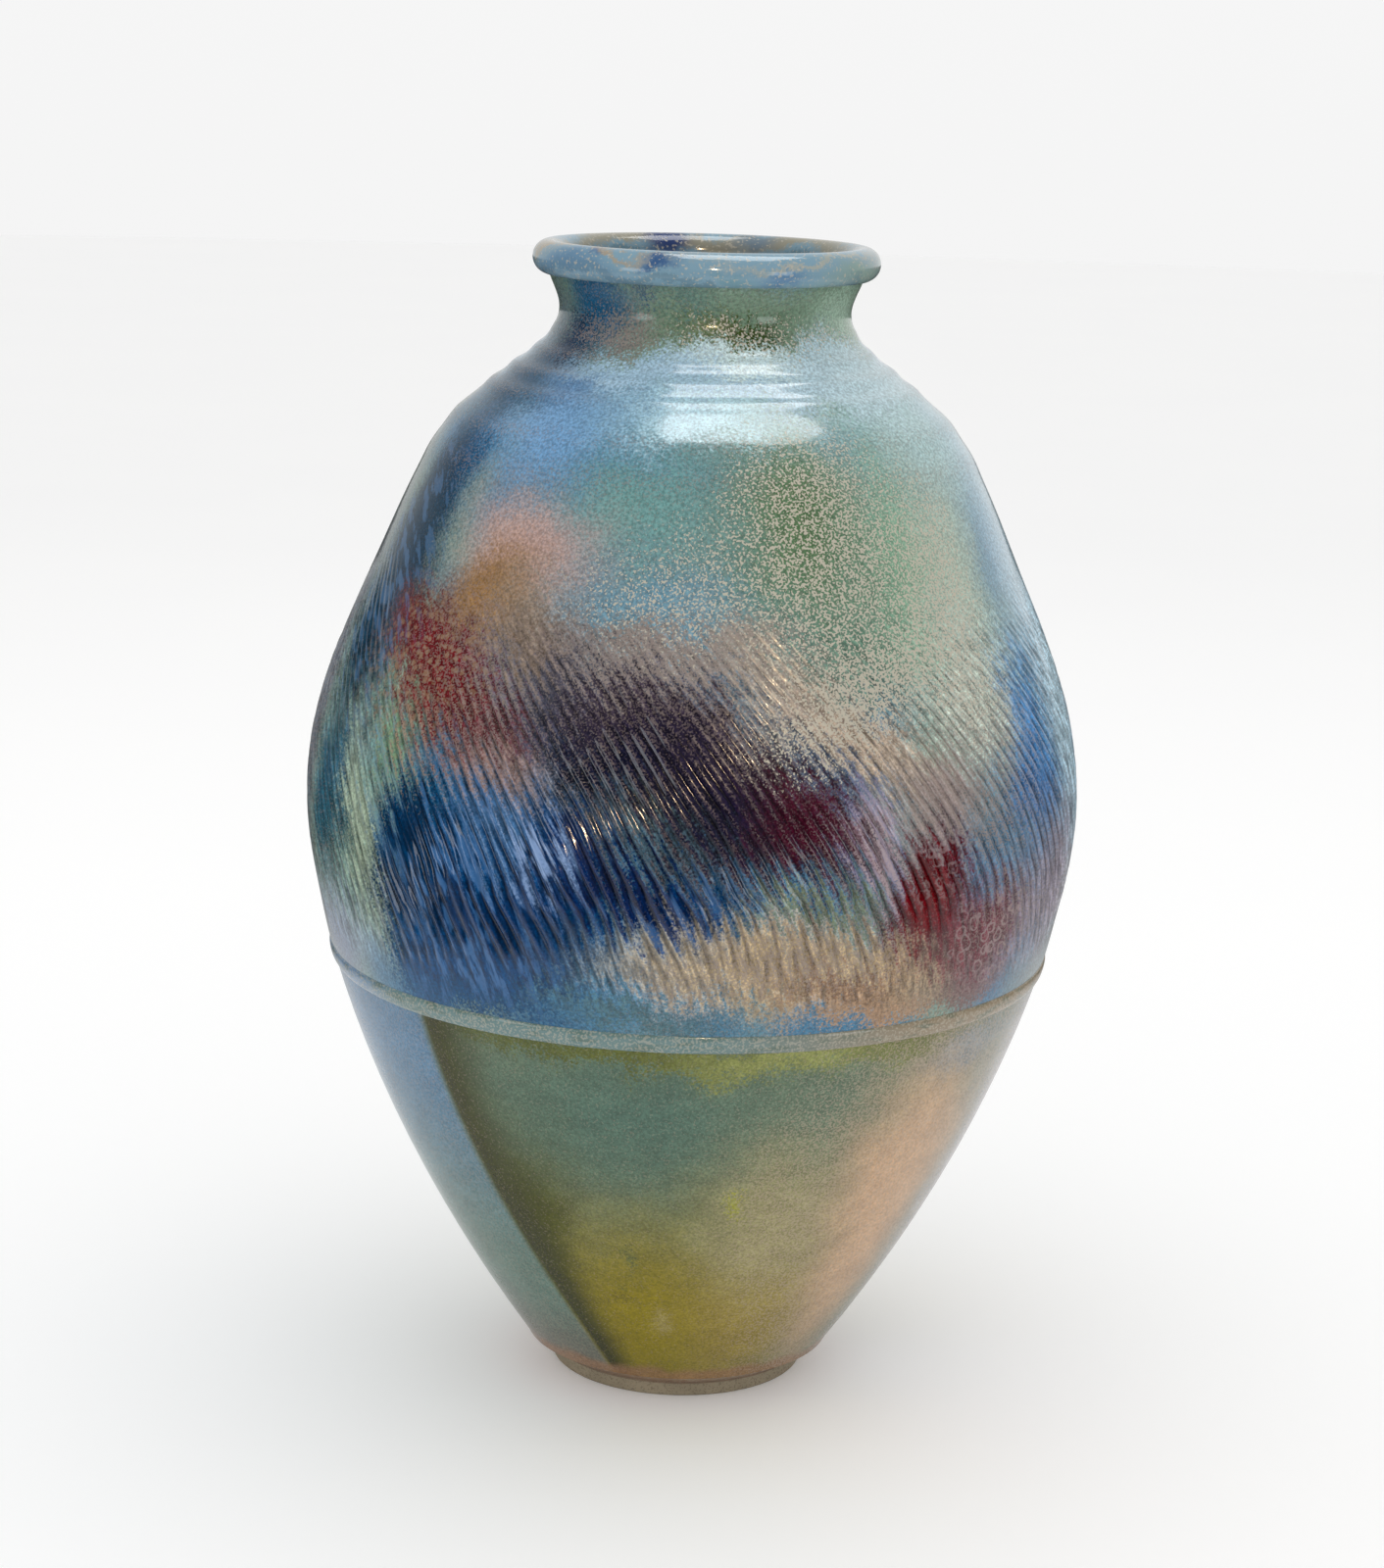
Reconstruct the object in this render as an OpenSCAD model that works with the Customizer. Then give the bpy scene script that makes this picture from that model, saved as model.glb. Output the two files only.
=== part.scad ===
// Large fluted stoneware vase: thrown sections luted together with slip, under separate coats of glaze.
// Millimetres, +Z up. The origin is on the table, on the vase's own axis.

/* [Silhouette] */
// Radius of the foot ring where it meets the body
foot_r = 57; // [52:0.5:60]
// Radius of the turned corner above the foot
heel_r = 67.5; // [64:0.5:72]
// Radius at the seam between the base and the belly
low_seam_r = 155.5; // [148:0.5:158]
// Radius of the body at its widest
belly_r = 168; // [164:1:176]
// Radius of the shoulder where the fluting ends
flute_top_r = 134; // [126:1:142]
// Radius where the collar stands on the shoulder
collar_r = 88; // [84:1:94]
// Smallest radius of the neck
waist_r = 62; // [58:0.5:66]

/* [Heights] */
// Height of the foot ring, up to the body
foot_h = 7; // [6:0.5:9]
// Height of the turned corner above the foot
heel_z = 13; // [12:0.5:16]
// Height of the seam between the base and the belly
low_seam_z = 188; // [176:1:198]
// Height of the widest place and of the seam there
belly_z = 260; // [250:1:275]
// Height where the fluting ends
flute_top_z = 375; // [355:1:385]
// Height where the collar stands on the shoulder
collar_z = 442; // [436:1:448]
// Height of the smallest place of the neck
waist_z = 472; // [468:1:475]
// Height of the centre of the rolled lip
lip_z = 493; // [490:0.5:498]

/* [Clay] */
// Thickness of the thrown wall
wall_t = 7.5; // [6:0.5:9]
// Thickness of the floor
floor_t = 11; // [8:0.5:15]
// Thickness of the slip that joins two sections
slip_t = 1.2; // [0.8:0.1:2]
// Depth of the V in which two sections meet
seam_v = 2.5; // [1.5:0.1:3.5]
// Width of the foot ring
foot_w = 12; // [9:0.5:16]

/* [Glaze] */
// Thickness of the coats on the outside
glaze_t = 0.9; // [0.5:0.1:1.5]
// Thickness of the coat inside
liner_t = 0.8; // [0.5:0.1:1.2]
// Height of the roll where the upper coat stopped running
roll_w = 8; // [5:0.5:11]
// How far that roll stands proud of the coat
roll_proud = 1.6; // [0.8:0.1:2.5]
// Radius of the rolled lip, with its glaze
lip_roll_r = 7; // [6:0.25:8]

/* [Hidden] */
$fn = 160;

// Points along each curved stretch, and degrees between points on a roll
steps = 12;
arc_step = 15;

// How far the wall leans out from the vertical at each height, in degrees
heel_lean = 35.5;
low_seam_lean = 16.5;
belly_lean = 0;
flute_top_lean = -23;
collar_lean = -50.5;
waist_lean = 0;
lip_lean = 21;

// How far each curve keeps its direction, leaving the lower end and reaching the upper end
low_pull = [82, 49];
belly_pull = [5, 21];
high_pull = [40, 50];
shoulder_pull = [57, 22];
collar_pull = [14, 13];
lip_pull = [4.5, 2.5];

// A point of an outline is [radius, height]. A lean of 0 points straight up.
function along(lean) = [sin(lean), cos(lean)];
function inward(way) = [-way[1], way[0]] / norm(way);

// A curve from p to q that leaves and arrives on the given leans
function bend(p, p_lean, q, q_lean, pull) =
    [p, p + pull[0] * along(p_lean), q - pull[1] * along(q_lean), q];
function bend_at(c, t) =
    pow(1 - t, 3) * c[0] + 3 * pow(1 - t, 2) * t * c[1] + 3 * (1 - t) * pow(t, 2) * c[2] + pow(t, 3) * c[3];
function bend_way(c, t) =
    pow(1 - t, 2) * (c[1] - c[0]) + 2 * (1 - t) * t * (c[2] - c[1]) + pow(t, 2) * (c[3] - c[2]);

// The curve's points, moved inward by depth
function layer(c, depth) =
    [for (i = [0:steps]) bend_at(c, i / steps) + depth * inward(bend_way(c, i / steps))];
function moved_in(p, lean, depth) = p + depth * inward(along(lean));
function backwards(points) = [for (i = [len(points) - 1:-1:0]) points[i]];

// The outer face, from the heel to under the lip. Each seam is a short straight step of slip.
heel = [heel_r, heel_z];
low_seam = [low_seam_r, low_seam_z];
low_seam_top = low_seam + slip_t * along(low_seam_lean);
roll_top = low_seam + roll_w * along(low_seam_lean);
belly_seam = [belly_r, belly_z];
belly_seam_top = belly_seam + slip_t * along(belly_lean);
flute_top = [flute_top_r, flute_top_z];
collar_seam = [collar_r, collar_z];
collar_seam_top = collar_seam + slip_t * along(collar_lean);
waist = [waist_r, waist_z];
lip_centre = [waist_r + 5, lip_z];
lip_seam = lip_centre - [0, lip_roll_r];
lip_seam_top = lip_seam + slip_t * along(lip_lean);

low_bend = bend(heel, heel_lean, low_seam, low_seam_lean, low_pull);
belly_bend = bend(roll_top, low_seam_lean, belly_seam, belly_lean, belly_pull);
high_bend = bend(belly_seam_top, belly_lean, flute_top, flute_top_lean, high_pull);
shoulder_bend = bend(flute_top, flute_top_lean, collar_seam, collar_lean, shoulder_pull);
collar_bend = bend(collar_seam_top, collar_lean, waist, waist_lean, collar_pull);
neck_bend = bend(waist, waist_lean, lip_seam, lip_lean, lip_pull);

// Depths of the layers under the outer face: the clay's face, its inner face, and the liner's face
clay = glaze_t;
inside = glaze_t + wall_t;
lined = inside + liner_t;

// The bowl of the base is thicker than the wall near the foot, so it has a curve of its own
floor_z = foot_h + floor_t;
floor_r = 40;
bowl_pull = [32, 78];
bowl_bend = bend([floor_r, floor_z], 90, moved_in(low_seam, low_seam_lean, inside), low_seam_lean, bowl_pull);

// Foot ring: height of its seam, the ring's inner radius, and its worn lower edges
foot_seam_z = foot_h - 1;
foot_in_r = foot_r - foot_w;
foot_edge = 1;

// The V that a seam is cut to, from the clay's outer face to its inner face
function seam_line(p, lean) =
    let (outer = moved_in(p, lean, clay), inner = moved_in(p, lean, inside))
    [outer, (outer + inner) / 2 - seam_v * along(lean), inner];
function foot_line(z) = [[foot_r, z], [foot_r - foot_w / 2, z - foot_h / 4], [foot_in_r, z]];

// Arc of the rolled lip, from under its outside, over the crest, to the inside of the mouth
function lip_arc(radius) = [for (a = [-75:arc_step:180]) lip_centre + radius * [cos(a), sin(a)]];

module turned(points) {
    rotate_extrude() polygon(points);
}

// A seam's slip fills the gap between the V of one section and the V of the next
module seam_slip(p, lean) {
    color("tan") turned(concat(seam_line(p, lean), backwards(seam_line(p + slip_t * along(lean), lean))));
}

// A coat lies between the outer face and the clay, along one curve
module coat(c) {
    turned(concat(layer(c, 0), backwards(layer(c, clay))));
}

module foot_ring() {
    color("rosybrown") turned(concat(
        [[foot_r - 2 * foot_edge, 0], [foot_r - foot_edge / 2, foot_edge]],
        foot_line(foot_seam_z),
        [[foot_in_r + foot_edge, foot_edge], [foot_in_r + 2 * foot_edge, 0]]
    ));
}

module foot_slip() {
    color("tan") turned(concat(foot_line(foot_seam_z), backwards(foot_line(foot_h))));
}

module base_section() {
    color("rosybrown") turned(concat(
        layer(low_bend, clay),
        seam_line(low_seam, low_seam_lean),
        backwards(layer(bowl_bend, 0)),
        [[0, floor_z], [0, foot_h]],
        backwards(foot_line(foot_h))
    ));
}

module low_seam_slip() {
    seam_slip(low_seam, low_seam_lean);
}

module belly_section() {
    color("rosybrown") turned(concat(
        layer(belly_bend, clay),
        seam_line(belly_seam, belly_lean),
        backwards(layer(belly_bend, inside)),
        backwards(seam_line(low_seam_top, low_seam_lean))
    ));
}

module belly_seam_slip() {
    seam_slip(belly_seam, belly_lean);
}

module shoulder_section() {
    color("rosybrown") turned(concat(
        layer(high_bend, clay),
        layer(shoulder_bend, clay),
        seam_line(collar_seam, collar_lean),
        backwards(layer(shoulder_bend, inside)),
        backwards(layer(high_bend, inside)),
        backwards(seam_line(belly_seam_top, belly_lean))
    ));
}

module collar_slip() {
    seam_slip(collar_seam, collar_lean);
}

module neck_collar() {
    color("rosybrown") turned(concat(
        layer(collar_bend, clay),
        layer(neck_bend, clay),
        seam_line(lip_seam, lip_lean),
        backwards(layer(neck_bend, inside)),
        backwards(layer(collar_bend, inside)),
        backwards(seam_line(collar_seam_top, collar_lean))
    ));
}

module lip_slip() {
    seam_slip(lip_seam, lip_lean);
}

module lip_coil() {
    color("rosybrown") turned(concat(
        lip_arc(lip_roll_r - glaze_t),
        backwards(seam_line(lip_seam_top, lip_lean))
    ));
}

// The heel's coat is wiped to a feather edge where the bare foot ring begins
module heel_glaze() {
    color("pink") turned([[foot_r, foot_h], heel, moved_in(heel, heel_lean, clay)]);
}

module lower_glaze() {
    color("darkseagreen") coat(low_bend);
}

module glaze_roll() {
    middle = (low_seam + roll_top) / 2;
    color("darkolivegreen") turned(concat(
        [for (a = [0:arc_step:180])
            middle - cos(a) * roll_w / 2 * along(low_seam_lean)
                - sin(a) * roll_proud * inward(along(low_seam_lean))],
        [moved_in(roll_top, low_seam_lean, clay), moved_in(low_seam, low_seam_lean, clay)]
    ));
}

module flute_glaze() {
    color("teal") turned(concat(
        layer(belly_bend, 0),
        layer(high_bend, 0),
        backwards(layer(high_bend, clay)),
        backwards(layer(belly_bend, clay))
    ));
}

module shoulder_glaze() {
    color("lightsteelblue") coat(shoulder_bend);
}

module neck_glaze() {
    color("seagreen") turned(concat(
        [collar_seam],
        layer(collar_bend, 0),
        layer(neck_bend, 0),
        backwards(layer(neck_bend, clay)),
        backwards(layer(collar_bend, clay)),
        [moved_in(collar_seam, collar_lean, clay)]
    ));
}

module lip_glaze() {
    color("lightblue") turned(concat(
        [lip_seam],
        lip_arc(lip_roll_r),
        [moved_in(lip_seam, lip_lean, lined), moved_in(lip_seam, lip_lean, inside)],
        [moved_in(lip_seam_top, lip_lean, inside)],
        backwards(lip_arc(lip_roll_r - glaze_t)),
        [moved_in(lip_seam_top, lip_lean, clay), moved_in(lip_seam, lip_lean, clay)]
    ));
}

// One unbroken coat, from the middle of the floor to under the lip
module liner_glaze() {
    color("tan") turned(concat(
        [[0, floor_z]],
        layer(bowl_bend, 0),
        layer(belly_bend, inside),
        layer(high_bend, inside),
        layer(shoulder_bend, inside),
        layer(collar_bend, inside),
        layer(neck_bend, inside),
        backwards(layer(neck_bend, lined)),
        backwards(layer(collar_bend, lined)),
        backwards(layer(shoulder_bend, lined)),
        backwards(layer(high_bend, lined)),
        backwards(layer(belly_bend, lined)),
        backwards(layer(bowl_bend, liner_t)),
        [[0, floor_z + liner_t]]
    ));
}

foot_ring();
foot_slip();
base_section();
low_seam_slip();
belly_section();
belly_seam_slip();
shoulder_section();
collar_slip();
neck_collar();
lip_slip();
lip_coil();
heel_glaze();
lower_glaze();
glaze_roll();
flute_glaze();
shoulder_glaze();
neck_glaze();
lip_glaze();
liner_glaze();
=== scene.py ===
"""A large fluted stoneware vase, dressed in its glazes around the packed clay frame."""

import functools
import math
from typing import NamedTuple

import bmesh
import bpy
import numpy as np
from mathutils import Matrix, Vector
from mathutils.bvhtree import BVHTree


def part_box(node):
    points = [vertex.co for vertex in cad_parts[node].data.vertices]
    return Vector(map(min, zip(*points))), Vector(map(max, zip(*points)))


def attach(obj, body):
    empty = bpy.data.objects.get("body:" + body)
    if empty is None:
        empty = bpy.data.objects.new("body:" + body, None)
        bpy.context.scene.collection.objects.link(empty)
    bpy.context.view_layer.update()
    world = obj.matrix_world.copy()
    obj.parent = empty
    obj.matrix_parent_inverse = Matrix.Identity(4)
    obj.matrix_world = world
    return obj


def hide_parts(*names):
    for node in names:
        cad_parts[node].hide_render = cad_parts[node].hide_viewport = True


bl_info = {
    "name": "Fluted Stoneware Vase",
    "version": (1, 0, 0),
    "blender": (4, 5, 0),
    "location": "View3D > Sidebar > Vase",
    "description": "Turns, flutes and glazes a large stoneware vase around its packed frame",
    "category": "Object",
}

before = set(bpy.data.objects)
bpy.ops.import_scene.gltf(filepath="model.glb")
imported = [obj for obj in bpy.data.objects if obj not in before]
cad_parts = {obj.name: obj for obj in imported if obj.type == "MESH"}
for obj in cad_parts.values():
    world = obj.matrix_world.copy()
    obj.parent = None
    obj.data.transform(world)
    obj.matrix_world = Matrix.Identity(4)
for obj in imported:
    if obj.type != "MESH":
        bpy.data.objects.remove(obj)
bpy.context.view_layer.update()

MM = 0.001
BODY = "root"

# The frame's own heights and radii, in metres
HEEL_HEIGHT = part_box("lower_glaze")[0].z
FOOT_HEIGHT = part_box("heel_glaze")[0].z
FOOT_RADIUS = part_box("foot_ring")[1].x
ROLL_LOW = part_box("glaze_roll")[0].z
ROLL_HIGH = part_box("glaze_roll")[1].z
BELLY_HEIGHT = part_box("belly_section")[1].z
FLUTE_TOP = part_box("shoulder_glaze")[0].z
COLLAR_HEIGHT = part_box("neck_glaze")[0].z
NECK_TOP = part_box("lip_glaze")[0].z
LINER_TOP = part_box("liner_glaze")[1].z
COAT = 0.9 * MM
LINER = 0.8 * MM

# Columns of faces round each kind of piece
COLUMNS_PER_FLUTE = 8
BODY_COLUMNS = 720
NECK_COLUMNS = 480
HEEL_COLUMNS = 480
FOOT_COLUMNS = 360
LINER_COLUMNS = 256


# ---------------------------------------------------------------- settings


def number(name, value, description, **kind):
    """A setting that is one number"""
    return bpy.props.FloatProperty(name=name, description=description, default=value, **kind)


def length(name, value, description, **limits):
    """A setting that is a length in metres"""
    return number(name, value, description, unit="LENGTH", **limits)


def tint(name, value, description):
    """A colour setting, as red, green and blue between 0 and 1 on screen"""
    return bpy.props.FloatVectorProperty(
        name=name, description=description, default=value, size=3, min=0, max=1, subtype="COLOR_GAMMA"
    )


class VaseFlutes(bpy.types.PropertyGroup):
    """The combed flutes around the belly"""

    count: bpy.props.IntProperty(
        name="Count", description="Flutes around the belly", default=176, min=40, max=260
    )
    depth: length("Depth", 1.25 * MM, "From groove to ridge", min=0, max=2 * MM)
    low: length("Lower end", 0.205, "Height where the flutes fade out below")
    high: length("Upper end", 0.378, "Height where the flutes fade out above")
    slant_low: number(
        "Turn below", math.radians(82), "Turn round the axis for each metre of height, at the lower end"
    )
    slant_high: number(
        "Turn above", math.radians(390), "Turn round the axis for each metre of height, at the upper end"
    )
    wobble: number(
        "Wobble", 0.9, "How far a flute strays, as a share of the space between flutes", min=0, max=3
    )


class VaseSurface(bpy.types.PropertyGroup):
    """Marks of throwing and firing on the outer face"""

    ring_rise: length("Ring height", 0.8 * MM, "Height of the throwing rings on the shoulder")
    line_rise: length("Line height", 0.07 * MM, "Height of the fine throwing lines")
    unevenness: length("Unevenness", 0.35 * MM, "How far the thrown wall strays from a true round")
    roll_sag: length("Roll sag", 1.6 * MM, "How far the roll of glaze strays up and down")


class VaseColours(bpy.types.PropertyGroup):
    """Colours of the clay and of each glaze, as they look when fired"""

    clay: tint("Bare clay", (0.70, 0.65, 0.55), "Unglazed stoneware of the foot")
    slip: tint("Slip", (0.60, 0.52, 0.44), "Fired joining slip")
    crystal: tint("Crystals", (0.78, 0.75, 0.68), "Pale crystals on the green")
    bloom: tint("Bloom", (0.60, 0.54, 0.51), "Fine pinkish tan bloom where the glaze is thin")


class VaseStudio(bpy.types.PropertyGroup):
    """Camera and lights"""

    distance: length("Camera distance", 1.455, "From the vase's axis")
    height: length("Camera height", 0.5875, "Above the table")
    pitch: number("Camera tilt", math.radians(12.53), "Downward tilt", subtype="ANGLE")
    roll: number("Camera roll", math.radians(1.62), "Turn about the line of sight", subtype="ANGLE")
    lens: number("Lens", 77.7, "Focal length in millimetres", min=20, max=200)
    overhead: number("Overhead light", 15.0, "Power in watts", unit="POWER")
    strips: number("Strip lights", 1.6, "Power in watts of each", unit="POWER")
    lamp: number("Warm lamp", 5.0, "Power in watts", unit="POWER")


# ---------------------------------------------------------------- node trees


def linear(colour):
    """A colour given as it looks on screen, as a node wants it"""
    return (*[c / 12.92 if c <= 0.04045 else ((c + 0.055) / 1.055) ** 2.4 for c in colour], 1.0)


class Tree:
    """A node tree, with short calls that add a node and set or link its inputs"""

    def __init__(self, tree):
        self.tree = tree
        self.source = None

    def add(self, kind, inputs=None, **settings):
        """A new node. Each input takes a value or another node's output."""
        node = self.tree.nodes.new(kind)
        for name, value in settings.items():
            setattr(node, name, value)
        for key, value in (inputs or {}).items():
            if isinstance(value, bpy.types.NodeSocket):
                self.tree.links.new(value, node.inputs[key])
            else:
                node.inputs[key].default_value = value
        return node

    def math(self, operation, *values):
        return self.add("ShaderNodeMath", dict(enumerate(values)), operation=operation).outputs[0]

    def plus(self, *values):
        """The sum of two or more values, added from left to right"""
        return functools.reduce(lambda total, value: self.math("ADD", total, value), values)

    def minus(self, value, less):
        return self.math("SUBTRACT", value, less)

    def times(self, *values):
        """The product of two or more values, multiplied from left to right"""
        return functools.reduce(lambda total, value: self.math("MULTIPLY", total, value), values)

    def vector(self, operation, *values):
        node = self.add("ShaderNodeVectorMath", dict(enumerate(values)), operation=operation)
        return node.outputs["Value" if operation == "LENGTH" else "Vector"]

    def point(self, x=0.0, y=0.0, z=0.0):
        return self.add("ShaderNodeCombineXYZ", {0: x, 1: y, 2: z}).outputs[0]

    def smooth(self, value, low, high, to_low=0.0, to_high=1.0):
        """A soft step from to_low to to_high as value goes from low to high"""
        inputs = {"Value": value, "From Min": low, "From Max": high, "To Min": to_low, "To Max": to_high}
        return self.add("ShaderNodeMapRange", inputs, interpolation_type="SMOOTHSTEP").outputs["Result"]

    def noise(self, vector, scale, detail=1.0, roughness=0.5, colour=False):
        inputs = {"Vector": vector, "Scale": scale, "Detail": detail, "Roughness": roughness}
        return self.add("ShaderNodeTexNoise", inputs).outputs[1 if colour else 0]

    def band(self, value, start, full, fading, end):
        """A soft band, which rises from start to full and falls from fading to end"""
        return self.times(self.smooth(value, start, full), self.smooth(value, fading, end, 1.0, 0.0))

    def scaled(self, vector, scale):
        return self.add("ShaderNodeVectorMath", {0: vector, "Scale": scale}, operation="SCALE").outputs[0]

    def turned(self, vector, angle):
        """A vector turned about the upright axis"""
        inputs = {"Vector": vector, "Angle": angle}
        return self.add("ShaderNodeVectorRotate", inputs, rotation_type="Z_AXIS").outputs[0]

    def bumped(self, height, strength):
        """A normal bent by a height map, where 1 stands for 0.4 mm"""
        inputs = {"Strength": strength, "Distance": 0.4 * MM, "Height": height}
        return self.add("ShaderNodeBump", inputs).outputs[0]

    def strengthened(self, colour, saturation, value):
        inputs = {"Color": colour, "Saturation": saturation, "Value": value}
        return self.add("ShaderNodeHueSaturation", inputs).outputs[0]

    def blend(self, factor, low, high):
        """One colour laid over another, each an output or a colour as it looks on screen"""
        low, high = [c if isinstance(c, bpy.types.NodeSocket) else linear(c) for c in (low, high)]
        return self.add("ShaderNodeMix", {0: factor, 6: low, 7: high}, data_type="RGBA").outputs[2]

    def group(self, tree, **inputs):
        """A node that runs another tree. An input's spaces are written as underscores."""
        kind = "ShaderNodeGroup" if tree.bl_idname == "ShaderNodeTree" else "GeometryNodeGroup"
        named = {key.replace("_", " "): value for key, value in inputs.items()}
        return self.add(kind, named, node_tree=tree).outputs

    def finish(self, **outputs):
        """Links the tree's results to its group output"""
        node = self.add("NodeGroupOutput")
        for key, value in outputs.items():
            self.tree.links.new(value, node.inputs[key.replace("_", " ")])
        return self.tree


def new_group(name, kind, inputs, outputs):
    """A tree with named inputs, given as {name: (socket type, default)}, and named outputs"""
    tree = bpy.data.node_groups.new(name, kind)
    for label, (socket_type, default) in inputs.items():
        socket = tree.interface.new_socket(label, in_out="INPUT", socket_type="NodeSocket" + socket_type)
        if default is not None:
            socket.default_value = default
    for label, socket_type in outputs.items():
        tree.interface.new_socket(label, in_out="OUTPUT", socket_type="NodeSocket" + socket_type)
    made = Tree(tree)
    made.source = made.add("NodeGroupInput").outputs
    return made


# ---------------------------------------------------------------- outlines from the frame


class Outline:
    """The vase's outer face, read off the frame's coats: its radius and lean at any height"""

    STEP = 0.5 * MM
    SOFTEN = 2 * MM

    def __init__(self):
        heights = np.arange(HEEL_HEIGHT + 0.5 * MM, NECK_TOP - 0.5 * MM, MM)
        heights = heights[(heights < ROLL_LOW - MM) | (heights > ROLL_HIGH + MM)]
        coats = ["lower_glaze", "flute_glaze", "shoulder_glaze", "neck_glaze"]
        found = [outer_radius(coats, z) for z in heights]
        self.z = np.arange(HEEL_HEIGHT, NECK_TOP, self.STEP)
        raw = np.interp(self.z, heights, found)
        reach = int(4 * self.SOFTEN / self.STEP)
        low = raw[0] - (raw[reach:0:-1] - raw[0])
        high = raw[-1] - (raw[-2:-reach - 2:-1] - raw[-1])
        weights = np.exp(-0.5 * (np.arange(-reach, reach + 1) * self.STEP / self.SOFTEN) ** 2)
        self.r = np.convolve(np.concatenate([low, raw, high]), weights / weights.sum(), "valid")
        self.slope = np.gradient(self.r, self.STEP)

    def at(self, z, depth=0.0):
        """The point that lies depth under the outer face, and the way out there: (radius, height) each"""
        slope = np.interp(z, self.z, self.slope)
        out = np.array([1.0, -slope]) / math.hypot(1.0, slope)
        return np.array([np.interp(z, self.z, self.r), z]) - depth * out, out

    def rows(self, low, high, spacing):
        """Heights from low to high, evenly spaced along the face"""
        z = np.linspace(low, high, 800)
        steps = np.hypot(np.diff(np.interp(z, self.z, self.r)), np.diff(z))
        along = np.concatenate([[0], np.cumsum(steps)])
        count = max(2, round(along[-1] / spacing) + 1)
        return np.interp(np.linspace(0, along[-1], count), along, z)


def outer_radius(nodes, height, inside=False):
    """The radius at which a level line meets the frame's nodes, from outside or from the axis"""
    start = Vector((0 if inside else 1, 1e-5, height))
    way = Vector((1 if inside else -1, 0, 0))
    hits = [tree_of(node).ray_cast(start, way) for node in nodes]
    radii = [hit[0].x for hit in hits if hit[0] is not None and hit[0].x > 0]
    if not radii:
        raise RuntimeError(f"no coat found {height:.4f} m up")
    return min(radii) if inside else max(radii)


TREES = {}


def tree_of(node):
    """A ray-casting tree of one of the frame's nodes, kept for the next ray"""
    if node not in TREES:
        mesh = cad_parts[node].data
        corners = [vertex.co for vertex in mesh.vertices]
        TREES[node] = BVHTree.FromPolygons(corners, [polygon.vertices for polygon in mesh.polygons])
    return TREES[node]


def coat_section(outline, low, high, spacing, back_spacing=14 * MM):
    """A closed section of a coat: rows of (point, way out, weight of the relief)"""
    face = [(*outline.at(z), 1.0) for z in outline.rows(low, high, spacing)]
    back = [(*outline.at(z, COAT), 0.0) for z in outline.rows(low, high, back_spacing)]
    return face + back[::-1]


def arc_section(centre, radius, start, end, step, weight=1.0):
    """Rows along an arc, from start to end in degrees"""
    rows = []
    for angle in np.radians(np.linspace(start, end, round(abs(end - start) / step) + 1)):
        out = np.array([math.cos(angle), math.sin(angle)])
        rows.append((np.array(centre) + radius * out, out, weight))
    return rows


def plain_rows(points, weight=0.0):
    """Rows at plain points of a section, with the way out found from their neighbours"""
    points = [np.array(p, float) for p in points]
    rows = []
    for i, p in enumerate(points):
        way = points[min(i + 1, len(points) - 1)] - points[max(i - 1, 0)]
        out = np.array([way[1], -way[0]])
        rows.append((p, out / max(np.linalg.norm(out), 1e-9), weight))
    return rows


# ---------------------------------------------------------------- turning and fluting

# Height, half width and share of the ring height, for each ring that the fingers left on the shoulder
SHOULDER_RINGS = [
    (0.4630, 0.0030, 0.5),
    (0.4545, 0.0024, 0.8),
    (0.4470, 0.0024, 1.0),
    (0.4395, 0.0026, 1.0),
    (0.4265, 0.0042, 0.7),
    (0.4120, 0.0060, 0.6),
]

# Where the comb missed on the left: azimuth and half width in degrees, height and half height in metres
BARE_AZIMUTH = -48.0
BARE_WIDTH = 15.0
BARE_HEIGHT = 0.356
BARE_RISE = 0.036


def slant_tree():
    """How far the flutes have turned round the axis at a height, in radians"""
    tree = new_group(
        "Flute_Slant", "GeometryNodeTree",
        {"Height": ("Float", 0.0), "Low": ("Float", 0.2), "High": ("Float", 0.4), "Turn Low": ("Float", 1.0),
         "Turn High": ("Float", 1.0)},
        {"Turn": "Float"},
    )
    src = tree.source
    up = tree.minus(src["Height"], src["Low"])
    span = tree.minus(src["High"], src["Low"])
    gain = tree.math("DIVIDE", tree.minus(src["Turn High"], src["Turn Low"]), span)
    bent = tree.times(gain, 0.5, up)
    turn = tree.times(tree.plus(src["Turn Low"], bent), up)
    return tree.finish(Turn=turn)


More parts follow.
